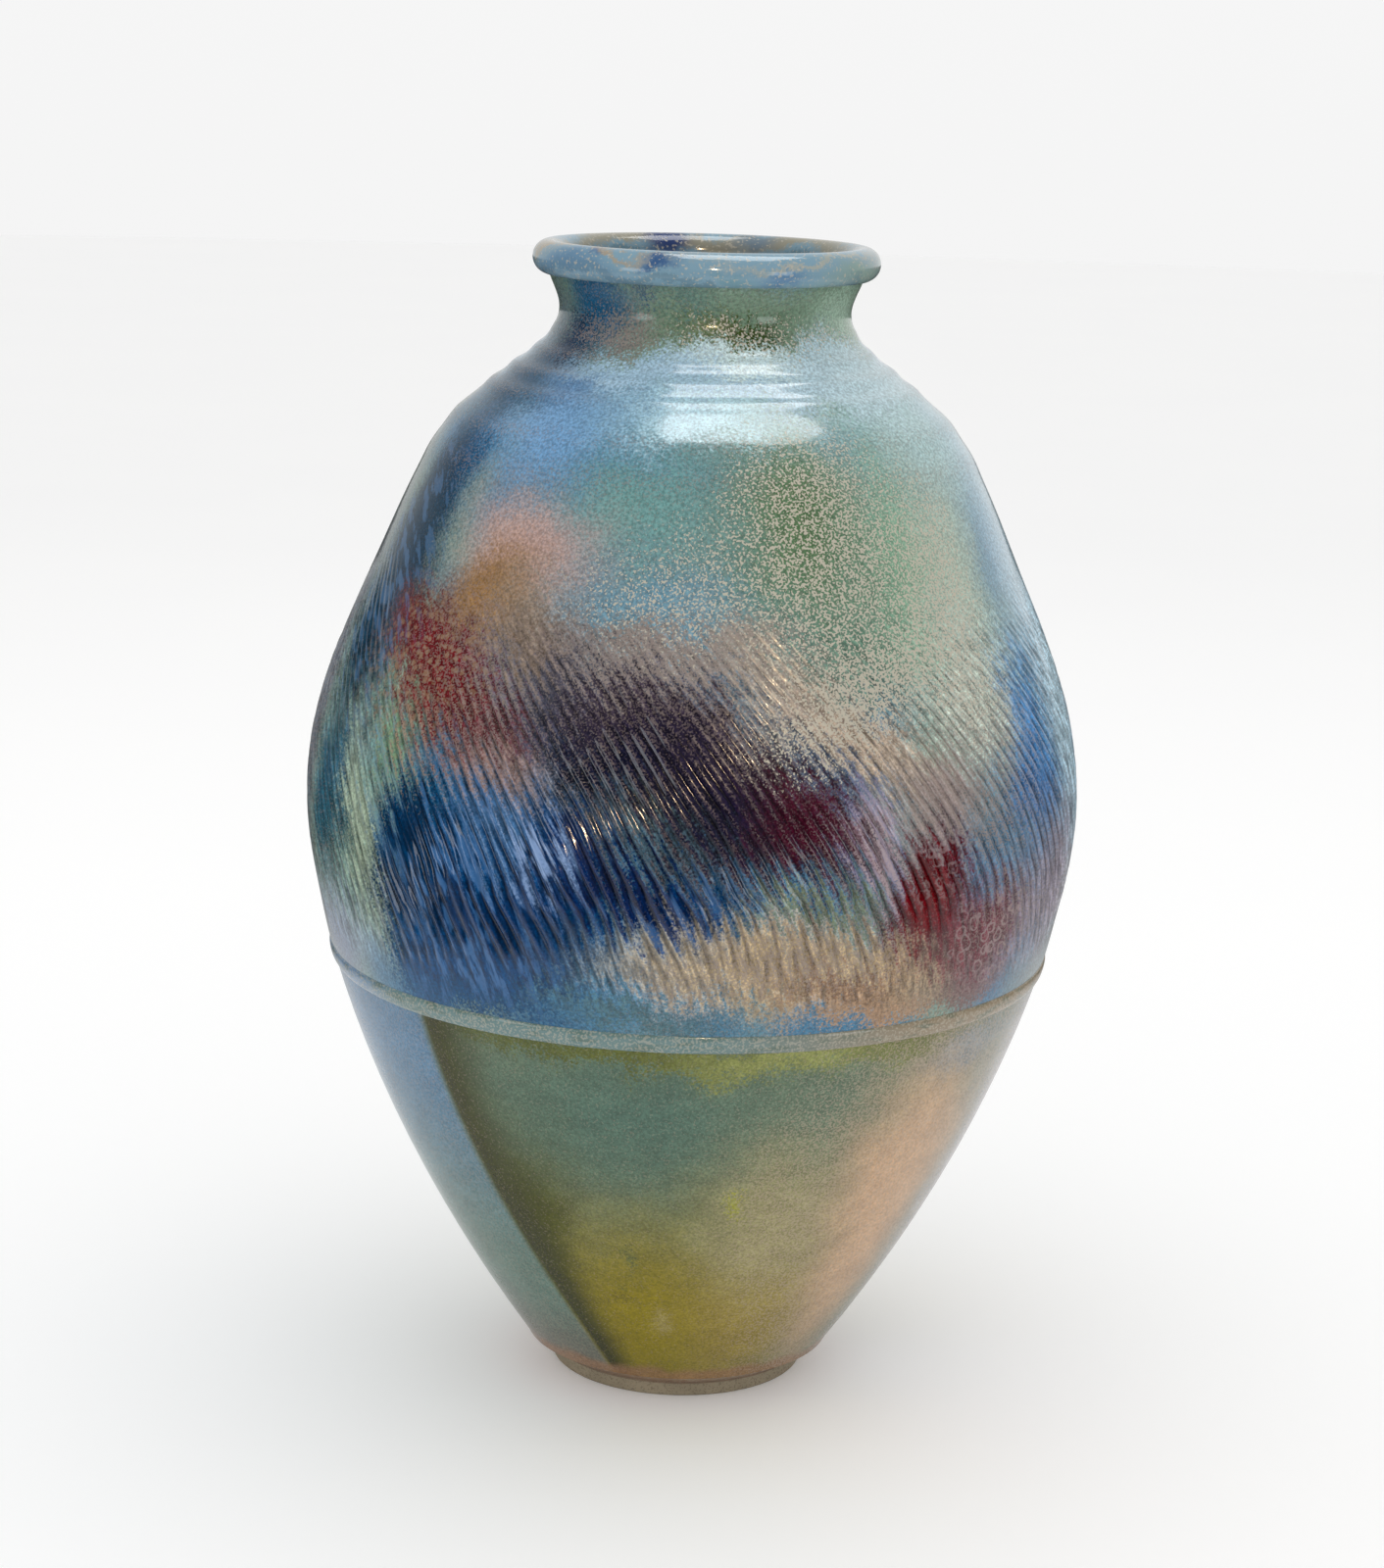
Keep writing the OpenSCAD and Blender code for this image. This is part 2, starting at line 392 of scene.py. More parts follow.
def flute_tree():
    """The flutes' relief, and their ridges: 0 in a groove, 1 on a ridge, a half where there are none"""
    tree = new_group(
        "Combed_Flutes", "GeometryNodeTree",
        {"Place": ("Vector", None), "Azimuth": ("Float", 0.0), "Turn": ("Float", 0.0), "Count": ("Int", 176),
         "Depth": ("Float", 0.001), "Low": ("Float", 0.2), "High": ("Float", 0.4), "Wobble": ("Float", 0.5),
         "Seam": ("Float", BELLY_HEIGHT)},
        {"Rise": "Float", "Ridge": "Float"},
    )
    src = tree.source
    height = tree.add("ShaderNodeSeparateXYZ", {0: src["Place"]}).outputs[2]
    along = tree.vector("MULTIPLY", src["Place"], (1.0, 1.0, 0.35))

    # A flute strays on its way down, and the comb was lifted and set again at the seam
    stray = tree.minus(tree.noise(along, 38.0, 1.0), 0.5)
    jog = tree.minus(tree.noise(src["Place"], 30.0, 0.0), 0.45)
    below = tree.smooth(height, tree.minus(src["Seam"], 0.012), src["Seam"], 1.6, 0.0)
    stray = tree.times(stray, src["Wobble"])
    stray = tree.plus(stray, tree.times(jog, below))
    turns = tree.math("DIVIDE", tree.plus(src["Azimuth"], src["Turn"]), math.tau)
    phase = tree.plus(tree.times(turns, src["Count"]), stray)
    wave = tree.math("COSINE", tree.times(phase, math.tau))
    crest = tree.math("POWER", tree.math("MULTIPLY_ADD", wave, 0.5, 0.5), 0.8)

    # The comb pressed harder in some places than in others, and let go at both ends
    press = tree.smooth(tree.noise(src["Place"], 16.0, 1.0), 0.25, 0.7, 0.55, 1.0)
    skip = tree.smooth(tree.noise(along, 120.0, 1.0), 0.32, 0.52, 0.35, 1.0)
    edge = tree.times(tree.minus(tree.noise(src["Place"], 22.0, 1.0), 0.5), 0.05)
    ragged = tree.plus(height, edge)
    start = tree.smooth(ragged, src["Low"], tree.plus(src["Low"], 0.03))
    end = tree.smooth(ragged, tree.minus(src["High"], 0.06), src["High"], 1.0, 0.0)
    azimuth = tree.times(src["Azimuth"], 180 / math.pi)
    aside = tree.math("DIVIDE", tree.minus(azimuth, BARE_AZIMUTH), BARE_WIDTH)
    above = tree.math("DIVIDE", tree.minus(height, BARE_HEIGHT), BARE_RISE)
    bare = tree.smooth(tree.vector("LENGTH", tree.point(aside, above)), 0.7, 1.3)
    amount = tree.times(press, skip, tree.times(start, end))
    amount = tree.times(amount, bare)
    signed = tree.times(tree.minus(crest, 0.48), amount)
    return tree.finish(Rise=tree.times(signed, src["Depth"]), Ridge=tree.plus(signed, 0.5))


def ring_tree():
    """The relief of the throwing rings, the fine throwing lines and the wall's unevenness"""
    tree = new_group(
        "Throwing_Marks", "GeometryNodeTree",
        {"Place": ("Vector", None), "Ring Rise": ("Float", 0.0005), "Line Rise": ("Float", 0.0001),
         "Unevenness": ("Float", 0.0003)},
        {"Rise": "Float", "Crest": "Float"},
    )
    src = tree.source
    height = tree.add("ShaderNodeSeparateXYZ", {0: src["Place"]}).outputs[2]
    drift = tree.minus(tree.noise(src["Place"], 9.0, 0.0), 0.5)
    level = tree.math("MULTIPLY_ADD", drift, 0.004, height)
    total = None
    for ring_height, half_width, share in SHOULDER_RINGS:
        away = tree.math("DIVIDE", tree.minus(level, ring_height), half_width)
        bump = tree.math("EXPONENT", tree.times(away, away, -1.0))
        ring = tree.times(bump, share)
        total = ring if total is None else tree.plus(total, ring)
    rings = tree.times(total, src["Ring Rise"])
    around = tree.vector("MULTIPLY_ADD", src["Place"], (0.02, 0.02, 0.0), tree.point(0.0, 0.0, level))
    lines = tree.times(tree.minus(tree.noise(around, 330.0, 2.0), 0.5), src["Line Rise"])
    lumps = tree.times(tree.noise(src["Place"], 8.0, 2.0), src["Unevenness"])
    return tree.finish(Rise=tree.plus(rings, lines, lumps), Crest=total)


def coat_tree(slant, flutes, rings):
    """Turns a section about the axis, and lays flutes and throwing marks on the face that has them"""
    tree = new_group(
        "Turned_Coat", "GeometryNodeTree",
        {"Section": ("Geometry", None), "Columns": ("Int", 256), "Flute Count": ("Int", 176),
         "Flute Depth": ("Float", 0.001), "Flute Low": ("Float", 0.2), "Flute High": ("Float", 0.4),
         "Turn Low": ("Float", 1.0), "Turn High": ("Float", 3.0), "Wobble": ("Float", 0.5),
         "Ring Rise": ("Float", 0.0005), "Line Rise": ("Float", 0.0001), "Unevenness": ("Float", 0.0003),
         "Sag": ("Float", 0.0), "Material": ("Material", None)},
        {"Geometry": "Geometry"},
    )
    src = tree.source
    section = {"Geometry": src["Section"]}
    rows = tree.add("GeometryNodeAttributeDomainSize", section, component="MESH").outputs[0]
    grid = tree.add(
        "GeometryNodeMeshGrid",
        {"Size X": 1.0, "Size Y": 1.0, "Vertices X": tree.plus(src["Columns"], 1.0),
         "Vertices Y": tree.plus(rows, 1.0)},
    ).outputs[0]
    position = tree.add("GeometryNodeInputPosition").outputs[0]
    spot = tree.add("ShaderNodeSeparateXYZ", {0: position}).outputs
    across = tree.plus(spot[0], 0.5)
    row = tree.math("ROUND", tree.times(tree.plus(spot[1], 0.5), rows))
    row = tree.math("FLOORED_MODULO", row, rows)

    def sampled(field, data_type):
        """A field's value in the section, at this row"""
        node = tree.add("GeometryNodeSampleIndex", section, data_type=data_type, domain="POINT")
        tree.tree.links.new(field, node.inputs["Value"])
        tree.tree.links.new(row, node.inputs["Index"])
        return node.outputs[0]

    def stored(name, data_type):
        node = tree.add("GeometryNodeInputNamedAttribute", {"Name": name}, data_type=data_type)
        return sampled(node.outputs[0], data_type)

    point = tree.add("ShaderNodeSeparateXYZ", {0: sampled(position, "FLOAT_VECTOR")}).outputs
    out = tree.add("ShaderNodeSeparateXYZ", {0: stored("way_out", "FLOAT_VECTOR")}).outputs
    weight = stored("relief", "FLOAT")
    radius, height = point[0], point[2]

    # Columns follow the flutes, so that each flute keeps the same columns all the way down
    turn = tree.group(
        slant, Height=height, Low=src["Flute Low"], High=src["Flute High"], Turn_Low=src["Turn Low"],
        Turn_High=src["Turn High"],
    )["Turn"]
    azimuth = tree.minus(tree.math("MULTIPLY_ADD", across, math.tau, -math.pi), turn)
    sine, cosine = tree.math("SINE", azimuth), tree.math("COSINE", azimuth)
    ahead = tree.times(cosine, -1.0)
    plain = tree.point(tree.times(radius, sine), tree.times(radius, ahead), height)
    outward = tree.point(tree.times(out[0], sine), tree.times(out[0], ahead), out[2])
    wrapped = tree.math("ARCTAN2", sine, cosine)
    fluted = tree.group(
        flutes, Place=plain, Azimuth=wrapped, Turn=turn, Count=src["Flute Count"],
        Depth=src["Flute Depth"], Low=src["Flute Low"], High=src["Flute High"], Wobble=src["Wobble"],
    )
    ringed = tree.group(
        rings, Place=plain, Ring_Rise=src["Ring Rise"], Line_Rise=src["Line Rise"],
        Unevenness=src["Unevenness"],
    )
    ridge = tree.math("MULTIPLY_ADD", ringed["Crest"], 0.4, fluted["Ridge"])
    rise = tree.times(tree.plus(fluted["Rise"], ringed["Rise"]), weight)
    sag = tree.minus(tree.noise(tree.vector("MULTIPLY", plain, (1.0, 1.0, 0.0)), 28.0, 2.0), 0.5)
    sag = tree.times(sag, src["Sag"], weight)
    place = tree.vector("ADD", plain, tree.scaled(outward, rise))
    place = tree.vector("ADD", place, tree.point(0.0, 0.0, sag))
    ridged = tree.add(
        "GeometryNodeStoreNamedAttribute", {"Geometry": grid, "Name": "ridge", "Value": ridge},
        data_type="FLOAT", domain="POINT",
    ).outputs[0]
    placed = tree.add("GeometryNodeSetPosition", {"Geometry": ridged, "Position": place}).outputs[0]
    closed = tree.add("GeometryNodeMergeByDistance", {"Geometry": placed, "Distance": 1e-6}).outputs[0]
    smooth = tree.add("GeometryNodeSetShadeSmooth", {"Geometry": closed}).outputs[0]
    real = tree.add("GeometryNodeRealizeInstances", {"Geometry": smooth}).outputs[0]
    done = tree.add("GeometryNodeSetMaterial", {"Geometry": real, "Material": src["Material"]}).outputs[0]
    return tree.finish(Geometry=done)


def turn_piece(name, section, columns, glaze, nodes=None, slot=None, sag=0.0, fluted=True):
    """Turns a section into a closed piece that rides on the body and stands for the frame's nodes"""
    nodes, slot = nodes or [name], slot or name
    scene = bpy.context.scene
    flutes, surface = scene.vase_flutes, scene.vase_surface
    material = bpy.data.materials[glaze]
    mesh = bpy.data.meshes.new(name + "_section")
    mesh.from_pydata([(place[0], 0.0, place[1]) for place, _, _ in section], [], [])
    ways = mesh.attributes.new("way_out", "FLOAT_VECTOR", "POINT")
    ways.data.foreach_set("vector", np.ravel([(out[0], 0.0, out[1]) for _, out, _ in section]))
    weights = mesh.attributes.new("relief", "FLOAT", "POINT")
    weights.data.foreach_set("value", [weight for _, _, weight in section])
    blank = bpy.data.objects.new(name + "_section", mesh)
    scene.collection.objects.link(blank)

    tree = bpy.data.node_groups["Turned_Coat"]
    modifier = blank.modifiers.new("Turned_Coat", "NODES")
    modifier.node_group = tree
    values = {
        "Columns": columns, "Flute Count": flutes.count, "Flute Depth": flutes.depth if fluted else 0.0,
        "Flute Low": flutes.low, "Flute High": flutes.high, "Turn Low": flutes.slant_low,
        "Turn High": flutes.slant_high, "Wobble": flutes.wobble, "Ring Rise": surface.ring_rise,
        "Line Rise": surface.line_rise, "Unevenness": surface.unevenness, "Sag": sag, "Material": material,
    }
    for item in tree.interface.items_tree:
        if item.item_type == "SOCKET" and item.in_out == "INPUT" and item.name in values:
            modifier[item.identifier] = values[item.name]
    evaluated = blank.evaluated_get(bpy.context.evaluated_depsgraph_get())
    made = bpy.data.meshes.new_from_object(evaluated)
    made.name = name
    bpy.data.objects.remove(blank)
    bpy.data.meshes.remove(mesh)

    shell = bmesh.new()
    shell.from_mesh(made)
    bmesh.ops.dissolve_degenerate(shell, dist=1e-7, edges=shell.edges)
    bmesh.ops.recalc_face_normals(shell, faces=shell.faces)
    shell.to_mesh(made)
    shell.free()
    made.set_sharp_from_angle(angle=math.radians(55))
    if len(made.polygons) == 0:
        raise RuntimeError(f"{name} came out empty")
    piece = bpy.data.objects.new(name, made)
    scene.collection.objects.link(piece)
    if not made.materials:
        made.materials.append(material)
    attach(piece, BODY)
    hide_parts(*nodes)
    return piece


# ---------------------------------------------------------------- glaze colours


class Spray(NamedTuple):
    """One pass of the glaze gun, and in a few places a painted reflection laid on the same way: where it was
    aimed, how far it spread, how it leans, and its colour
    """

    name: str
    azimuth: float  # degrees from the front, to the right
    height: float  # millimetres above the table
    width: float  # half its width, in degrees
    rise: float  # half its height, in millimetres
    lean: float  # degrees, to the right going up
    soft: float  # share of it that fades out
    strength: float
    colour: tuple = (1.0, 1.0, 1.0)  # red, green and blue on screen, or white for a mask alone



def across_back(name, *aim):
    """A spray over the back, where the flat map meets itself, so it's laid on at both ends of the map"""
    return Spray(name, 180, *aim), Spray(name + "_left", -180, *aim)


MM_PER_DEGREE = 2.8

BELLY_SPRAYS = [
    # Painted reflection of the overhead light on the upper shoulder rings, as a pale blue band
    Spray("painted_reflection_upper_ring", 22, 452, 50, 14, 0, 0.8, 0.9, (0.73, 0.81, 0.87)),
    Spray("shoulder_blue", -38, 432, 24, 22, 0, 0.8, 0.9, (0.55, 0.67, 0.80)),
    # Painted reflection of the overhead light on the lowest bright shoulder ring
    Spray("painted_reflection_lower_ring", 2, 434, 24, 12, 0, 0.6, 0.95, (0.78, 0.88, 0.91)),
    Spray("shoulder_right", 58, 432, 30, 40, 0, 0.7, 0.95, (0.70, 0.79, 0.80)),
    Spray("teal_middle", -12, 402, 20, 24, 0, 0.7, 0.9, (0.47, 0.61, 0.60)),
    Spray("blue_middle", -10, 376, 20, 18, 0, 0.8, 0.9, (0.45, 0.56, 0.60)),
    Spray("deep_blue_left", -58, 408, 9, 24, 0, 0.6, 0.95, (0.12, 0.28, 0.42)),
    Spray("slate_column", -64, 364, 12, 78, 0, 0.4, 1.0, (0.13, 0.22, 0.29)),
    Spray("teal_column", -66, 272, 9, 36, 0, 0.6, 0.95, (0.20, 0.33, 0.39)),
    Spray("far_left_mauve", -82, 320, 9, 120, 0, 0.6, 0.9, (0.36, 0.37, 0.42)),
    Spray("peach_glow", -33, 384, 15, 26, 0, 0.6, 0.95, (0.74, 0.64, 0.61)),
    Spray("ochre_glow", -38, 362, 11, 22, -20, 0.6, 0.95, (0.58, 0.46, 0.33)),
    Spray("amber_glow", -28, 360, 8, 16, 0, 0.7, 0.8, (0.66, 0.56, 0.46)),
    Spray("fawn_left", -28, 352, 9, 22, 30, 0.8, 0.9, (0.52, 0.47, 0.42)),
    Spray("oxblood_top", -52, 352, 9, 20, 0, 0.6, 0.95, (0.36, 0.20, 0.19)),
    Spray("oxblood_band", -42, 331, 19, 21, 26, 0.4, 1.0, (0.40, 0.19, 0.20)),
    Spray("oxblood_tip", -29, 314, 8, 18, 20, 0.7, 0.95, (0.40, 0.25, 0.26)),
    Spray("haze_blue", -4, 368, 22, 11, 0, 0.6, 0.9, (0.48, 0.60, 0.66)),
    Spray("haze_fawn", -2, 352, 24, 9, 4, 0.6, 0.9, (0.62, 0.59, 0.56)),
    Spray("green_cloud", 20, 388, 17, 48, -10, 0.6, 1.0, (0.42, 0.52, 0.44)),
    Spray("green_deep", 19, 396, 8, 26, -8, 0.7, 0.9, (0.34, 0.44, 0.32)),
    Spray("green_tail", 26, 348, 10, 20, -30, 0.7, 0.9, (0.42, 0.52, 0.46)),
    Spray("green_light", 40, 386, 9, 50, -6, 0.7, 0.9, (0.52, 0.65, 0.56)),
    Spray("sage_right", 52, 372, 12, 58, -6, 0.7, 0.95, (0.71, 0.76, 0.71)),
    Spray("far_right_sky", 78, 330, 13, 140, 0, 0.6, 0.95, (0.72, 0.80, 0.84)),
    Spray("fawn_sweep", 24, 318, 22, 15, 36, 0.5, 1.0, (0.70, 0.64, 0.58)),
    Spray("steel_right", 46, 326, 12, 30, -10, 0.7, 0.95, (0.75, 0.78, 0.74)),
    Spray("fawn_lower", 38, 286, 9, 18, 20, 0.7, 0.9, (0.56, 0.50, 0.49)),
    Spray("blue_right", 60, 304, 7, 34, -14, 0.6, 0.95, (0.42, 0.56, 0.72)),
    Spray("blue_right_low", 57, 286, 9, 16, 0, 0.7, 0.9, (0.34, 0.46, 0.62)),
    Spray("mauve_right", 66, 236, 18, 40, 0, 0.7, 0.9, (0.55, 0.51, 0.55)),
    Spray("cream_streak", -55, 262, 4, 50, -18, 0.6, 0.95, (0.62, 0.67, 0.60)),
    Spray("pale_left", -68, 212, 16, 28, 0, 0.7, 0.9, (0.52, 0.56, 0.64)),
    Spray("cobalt_field", -30, 244, 21, 54, -12, 0.3, 1.0, (0.02, 0.17, 0.33)),
    Spray("cobalt_tail", -6, 256, 16, 15, 10, 0.4, 1.0, (0.02, 0.17, 0.36)),
    Spray("navy_bridge", -17, 278, 9, 18, 10, 0.6, 0.95, (0.07, 0.15, 0.32)),
    Spray("cobalt_left", -44, 258, 8, 48, 0, 0.4, 1.0, (0.03, 0.18, 0.31)),
    Spray("cobalt_foot", -34, 214, 15, 22, 0, 0.35, 1.0, (0.03, 0.24, 0.41)),
    Spray("cloud_edge", -4, 318, 27, 32, 22, 0.42, 1.0, (0.33, 0.28, 0.30)),
    Spray("cloud_body", -2, 306, 25, 28, 24, 0.4, 1.0, (0.14, 0.12, 0.18)),
    Spray("cloud_low", 11, 274, 14, 16, 6, 0.5, 0.95, (0.15, 0.11, 0.17)),
    Spray("cloud_core", -13, 302, 10, 18, 10, 0.7, 0.9, (0.04, 0.06, 0.14)),
    Spray("cloud_ink", 0, 284, 9, 14, 10, 0.8, 0.8, (0.08, 0.08, 0.16)),
    Spray("cloud_maroon", 18, 284, 12, 20, 24, 0.6, 0.95, (0.26, 0.11, 0.15)),
    Spray("navy_pool", -9, 262, 12, 13, 12, 0.6, 0.9, (0.02, 0.10, 0.26)),
    Spray("navy_line", -42, 246, 8, 6, 0, 0.6, 0.8, (0.03, 0.13, 0.24)),
    # Painted reflection of the left strip light in the cobalt flutes
    Spray("painted_reflection_left_patch", -28, 280, 8, 24, -16, 0.6, 0.8, (0.36, 0.46, 0.58)),
    Spray("fawn_tip", -28, 301, 8, 12, 10, 0.6, 0.8, (0.60, 0.52, 0.48)),
    Spray("yellow_flutes", -48, 306, 5, 16, -15, 0.7, 0.95, (0.46, 0.56, 0.46)),
    Spray("fawn_foot", 17, 223, 27, 22, 6, 0.35, 1.0, (0.72, 0.65, 0.54)),
    Spray("brown_foot", 24, 214, 13, 9, 4, 0.7, 0.9, (0.48, 0.38, 0.32)),
    Spray("fawn_low", 30, 203, 14, 6, 0, 0.6, 0.9, (0.66, 0.55, 0.46)),
    Spray("moss_middle", 17, 250, 13, 6, 0, 0.6, 0.85, (0.43, 0.45, 0.33)),
    Spray("teal_foot", -6, 204, 14, 7, 4, 0.6, 0.9, (0.32, 0.42, 0.44)),
    Spray("blue_foot", -36, 202, 12, 7, 0, 0.7, 0.7, (0.16, 0.32, 0.46)),
    Spray("oxblood_right", 36, 248, 10, 28, -20, 0.35, 1.0, (0.38, 0.15, 0.16)),
    Spray("oxblood_foot", 47, 226, 11, 26, 0, 0.5, 0.95, (0.40, 0.21, 0.23)),
    Spray("brown_side", 47, 204, 8, 8, 0, 0.7, 0.85, (0.46, 0.37, 0.36)),
    # Painted reflection of the right strip light, lavender on the oxblood
    Spray("painted_reflection_right_patch", 26, 276, 4, 22, -16, 0.6, 0.7, (0.56, 0.48, 0.50)),
    Spray("back_green", 140, 360, 22, 60, 15, 0.7, 1.0, (0.40, 0.50, 0.42)),
    Spray("back_fawn", 108, 300, 16, 50, -20, 0.7, 0.9, (0.62, 0.58, 0.53)),
    Spray("back_blue", 144, 258, 25, 44, 10, 0.4, 1.0, (0.06, 0.24, 0.42)),
    Spray("back_plum", -144, 304, 23, 36, 18, 0.5, 1.0, (0.18, 0.14, 0.20)),
    Spray("back_oxblood", -112, 290, 14, 44, -15, 0.5, 0.95, (0.41, 0.22, 0.22)),
    Spray("back_peach", -136, 380, 22, 28, 0, 0.7, 0.9, (0.66, 0.56, 0.49)),
    *across_back("back_tan", 218, 34, 16, 0, 0.5, 0.95, (0.62, 0.54, 0.45)),
    *across_back("back_sky", 434, 60, 18, 0, 0.7, 0.9, (0.60, 0.73, 0.79)),
    *across_back("back_sweep", 322, 22, 15, 26, 0.5, 1.0, (0.66, 0.60, 0.53)),
    Spray("back_navy", -148, 252, 20, 34, 10, 0.4, 1.0, (0.04, 0.19, 0.35)),
    Spray("back_maroon", -138, 292, 12, 20, 24, 0.6, 0.95, (0.26, 0.12, 0.16)),
    Spray("back_cobalt", -118, 224, 26, 26, 6, 0.4, 0.95, (0.12, 0.31, 0.48)),
]

# The colour that ridges break to, and how much of it shows; two of them are painted reflections of the strip
# lights on the ridges
BREAK_AND_REFLECTION_SPRAYS = [
    Spray("cobalt_break", -30, 236, 30, 48, -8, 0.4, 0.9, (0.13, 0.33, 0.52)),
    # Painted reflection of the left strip light on the flute ridges
    Spray("painted_reflection_left_ridges", -27, 276, 11, 30, -20, 0.6, 1.0, (0.50, 0.62, 0.80)),
    Spray("moss_break", 4, 248, 22, 9, -4, 0.7, 0.8, (0.50, 0.52, 0.42)),
    # Painted reflection of the right strip light on the flute ridges, lavender
    Spray("painted_reflection_right_ridges", 27, 272, 5, 26, -14, 0.6, 1.0, (0.70, 0.62, 0.64)),
    Spray("cream_break", -55, 268, 5, 52, -13, 0.6, 0.9, (0.64, 0.69, 0.62)),
    Spray("tan_break", -46, 310, 12, 20, 20, 0.7, 0.9, (0.68, 0.56, 0.46)),
    Spray("cloud_break", 0, 296, 20, 36, 20, 0.5, 0.8, (0.34, 0.28, 0.32)),
    Spray("blue_break", 62, 305, 10, 40, -10, 0.7, 0.7, (0.56, 0.62, 0.74)),
    Spray("back_break", 144, 258, 25, 44, 10, 0.5, 0.8, (0.24, 0.42, 0.60)),
]

# Where pale crystals grew in the glaze
CRYSTAL_SPRAYS = [
    Spray("green_crystals", 24, 386, 23, 56, -10, 0.5, 0.46),
    Spray("light_crystals", 44, 366, 14, 60, -8, 0.6, 0.50),
    Spray("edge_crystals", 28, 338, 22, 24, -28, 0.6, 0.60),
    Spray("middle_crystals", 0, 374, 28, 26, 0, 0.7, 0.34),
    Spray("neck_crystals", 14, 470, 30, 8, 0, 0.6, 0.40),
    Spray("neck_crystals_right", 50, 462, 30, 5, 0, 0.7, 0.35),
    Spray("back_crystals", 140, 365, 24, 56, 15, 0.6, 0.5),
]

# Where the glaze stayed clear and deep
CLEAR_SPRAYS = [
    Spray("cobalt_clear", -31, 238, 30, 52, -8, 0.3, 1.0),
    Spray("tail_clear", -4, 256, 16, 16, 10, 0.5, 0.7),
    Spray("core_clear", -2, 292, 20, 26, 20, 0.5, 0.5),
    Spray("shoulder_clear", 4, 446, 70, 20, 0, 0.4, 0.8),
    Spray("oxblood_clear", 38, 250, 9, 28, -14, 0.5, 0.7),
    Spray("slate_clear", -66, 350, 10, 80, 0, 0.5, 0.7),
    Spray("back_clear", 144, 258, 25, 44, 10, 0.5, 0.8),
    Spray("back_clear_left", -148, 252, 20, 34, 10, 0.5, 0.8),
]

# Where it ran in pale blue streaks, and two painted reflections of the strip lights, laid on as streaks
STREAK_AND_REFLECTION_SPRAYS = [
    Spray("streaks_left", -34, 262, 15, 40, -14, 0.5, 0.6, (0.24, 0.47, 0.70)),
    # Painted reflection of the left strip light, in pale blue streaks
    Spray("painted_reflection_left_streaks", -22, 268, 8, 24, -20, 0.6, 0.95, (0.58, 0.69, 0.86)),
    Spray("streaks_edge", -50, 290, 6, 34, -16, 0.6, 0.9, (0.52, 0.66, 0.60)),
    Spray("streaks_foot", -32, 220, 16, 22, 0, 0.5, 0.6, (0.26, 0.46, 0.66)),
    Spray("streaks_tail", -4, 256, 14, 14, 10, 0.6, 0.5, (0.24, 0.42, 0.62)),
    # Painted reflection of the right strip light, in lavender streaks
    Spray("painted_reflection_right_streaks", 26, 276, 5, 24, -16, 0.6, 0.8, (0.74, 0.66, 0.70)),
    Spray("streaks_slate", -64, 360, 12, 76, 0, 0.6, 0.45, (0.28, 0.40, 0.46)),
    Spray("streaks_back", 144, 258, 25, 44, 10, 0.5, 0.5, (0.24, 0.44, 0.66)),
    Spray("streaks_back_left", -148, 256, 18, 30, 10, 0.5, 0.7, (0.34, 0.54, 0.78)),
]

# Where the oxblood broke into ochre cells, and where it has pale rings
OCHRE_CELLS = [
    Spray("cells_left", -46, 340, 17, 32, -20, 0.5, 0.85),
    Spray("cells_back", -116, 300, 18, 40, -15, 0.5, 0.7),
]
PALE_RINGS = [
    Spray("rings_right", 50, 226, 9, 22, 0, 0.4, 0.7),
    Spray("rings_upper", 38, 262, 6, 18, -14, 0.5, 0.4),
]

# Where a fine tan bloom dulls the glaze
BLOOM_SPRAYS = [
    Spray("cloud_bloom", 2, 318, 36, 44, -16, 0.6, 0.50),
    Spray("cloud_top_bloom", 0, 350, 34, 18, 0, 0.6, 0.65),
    Spray("left_bloom", -40, 340, 22, 44, 20, 0.6, 0.45),
    Spray("foot_bloom", 14, 226, 34, 22, 0, 0.5, 0.55),
    Spray("right_bloom", 44, 290, 26, 50, -25, 0.6, 0.55),
    Spray("mauve_bloom", 54, 230, 20, 34, 0, 0.6, 0.45),
    Spray("shoulder_bloom", -20, 438, 60, 10, 0, 0.7, 0.45),
    Spray("neck_bloom", -34, 468, 30, 7, 0, 0.6, 0.6),
    *across_back("back_bloom", 310, 70, 70, 0, 0.6, 0.45),
]

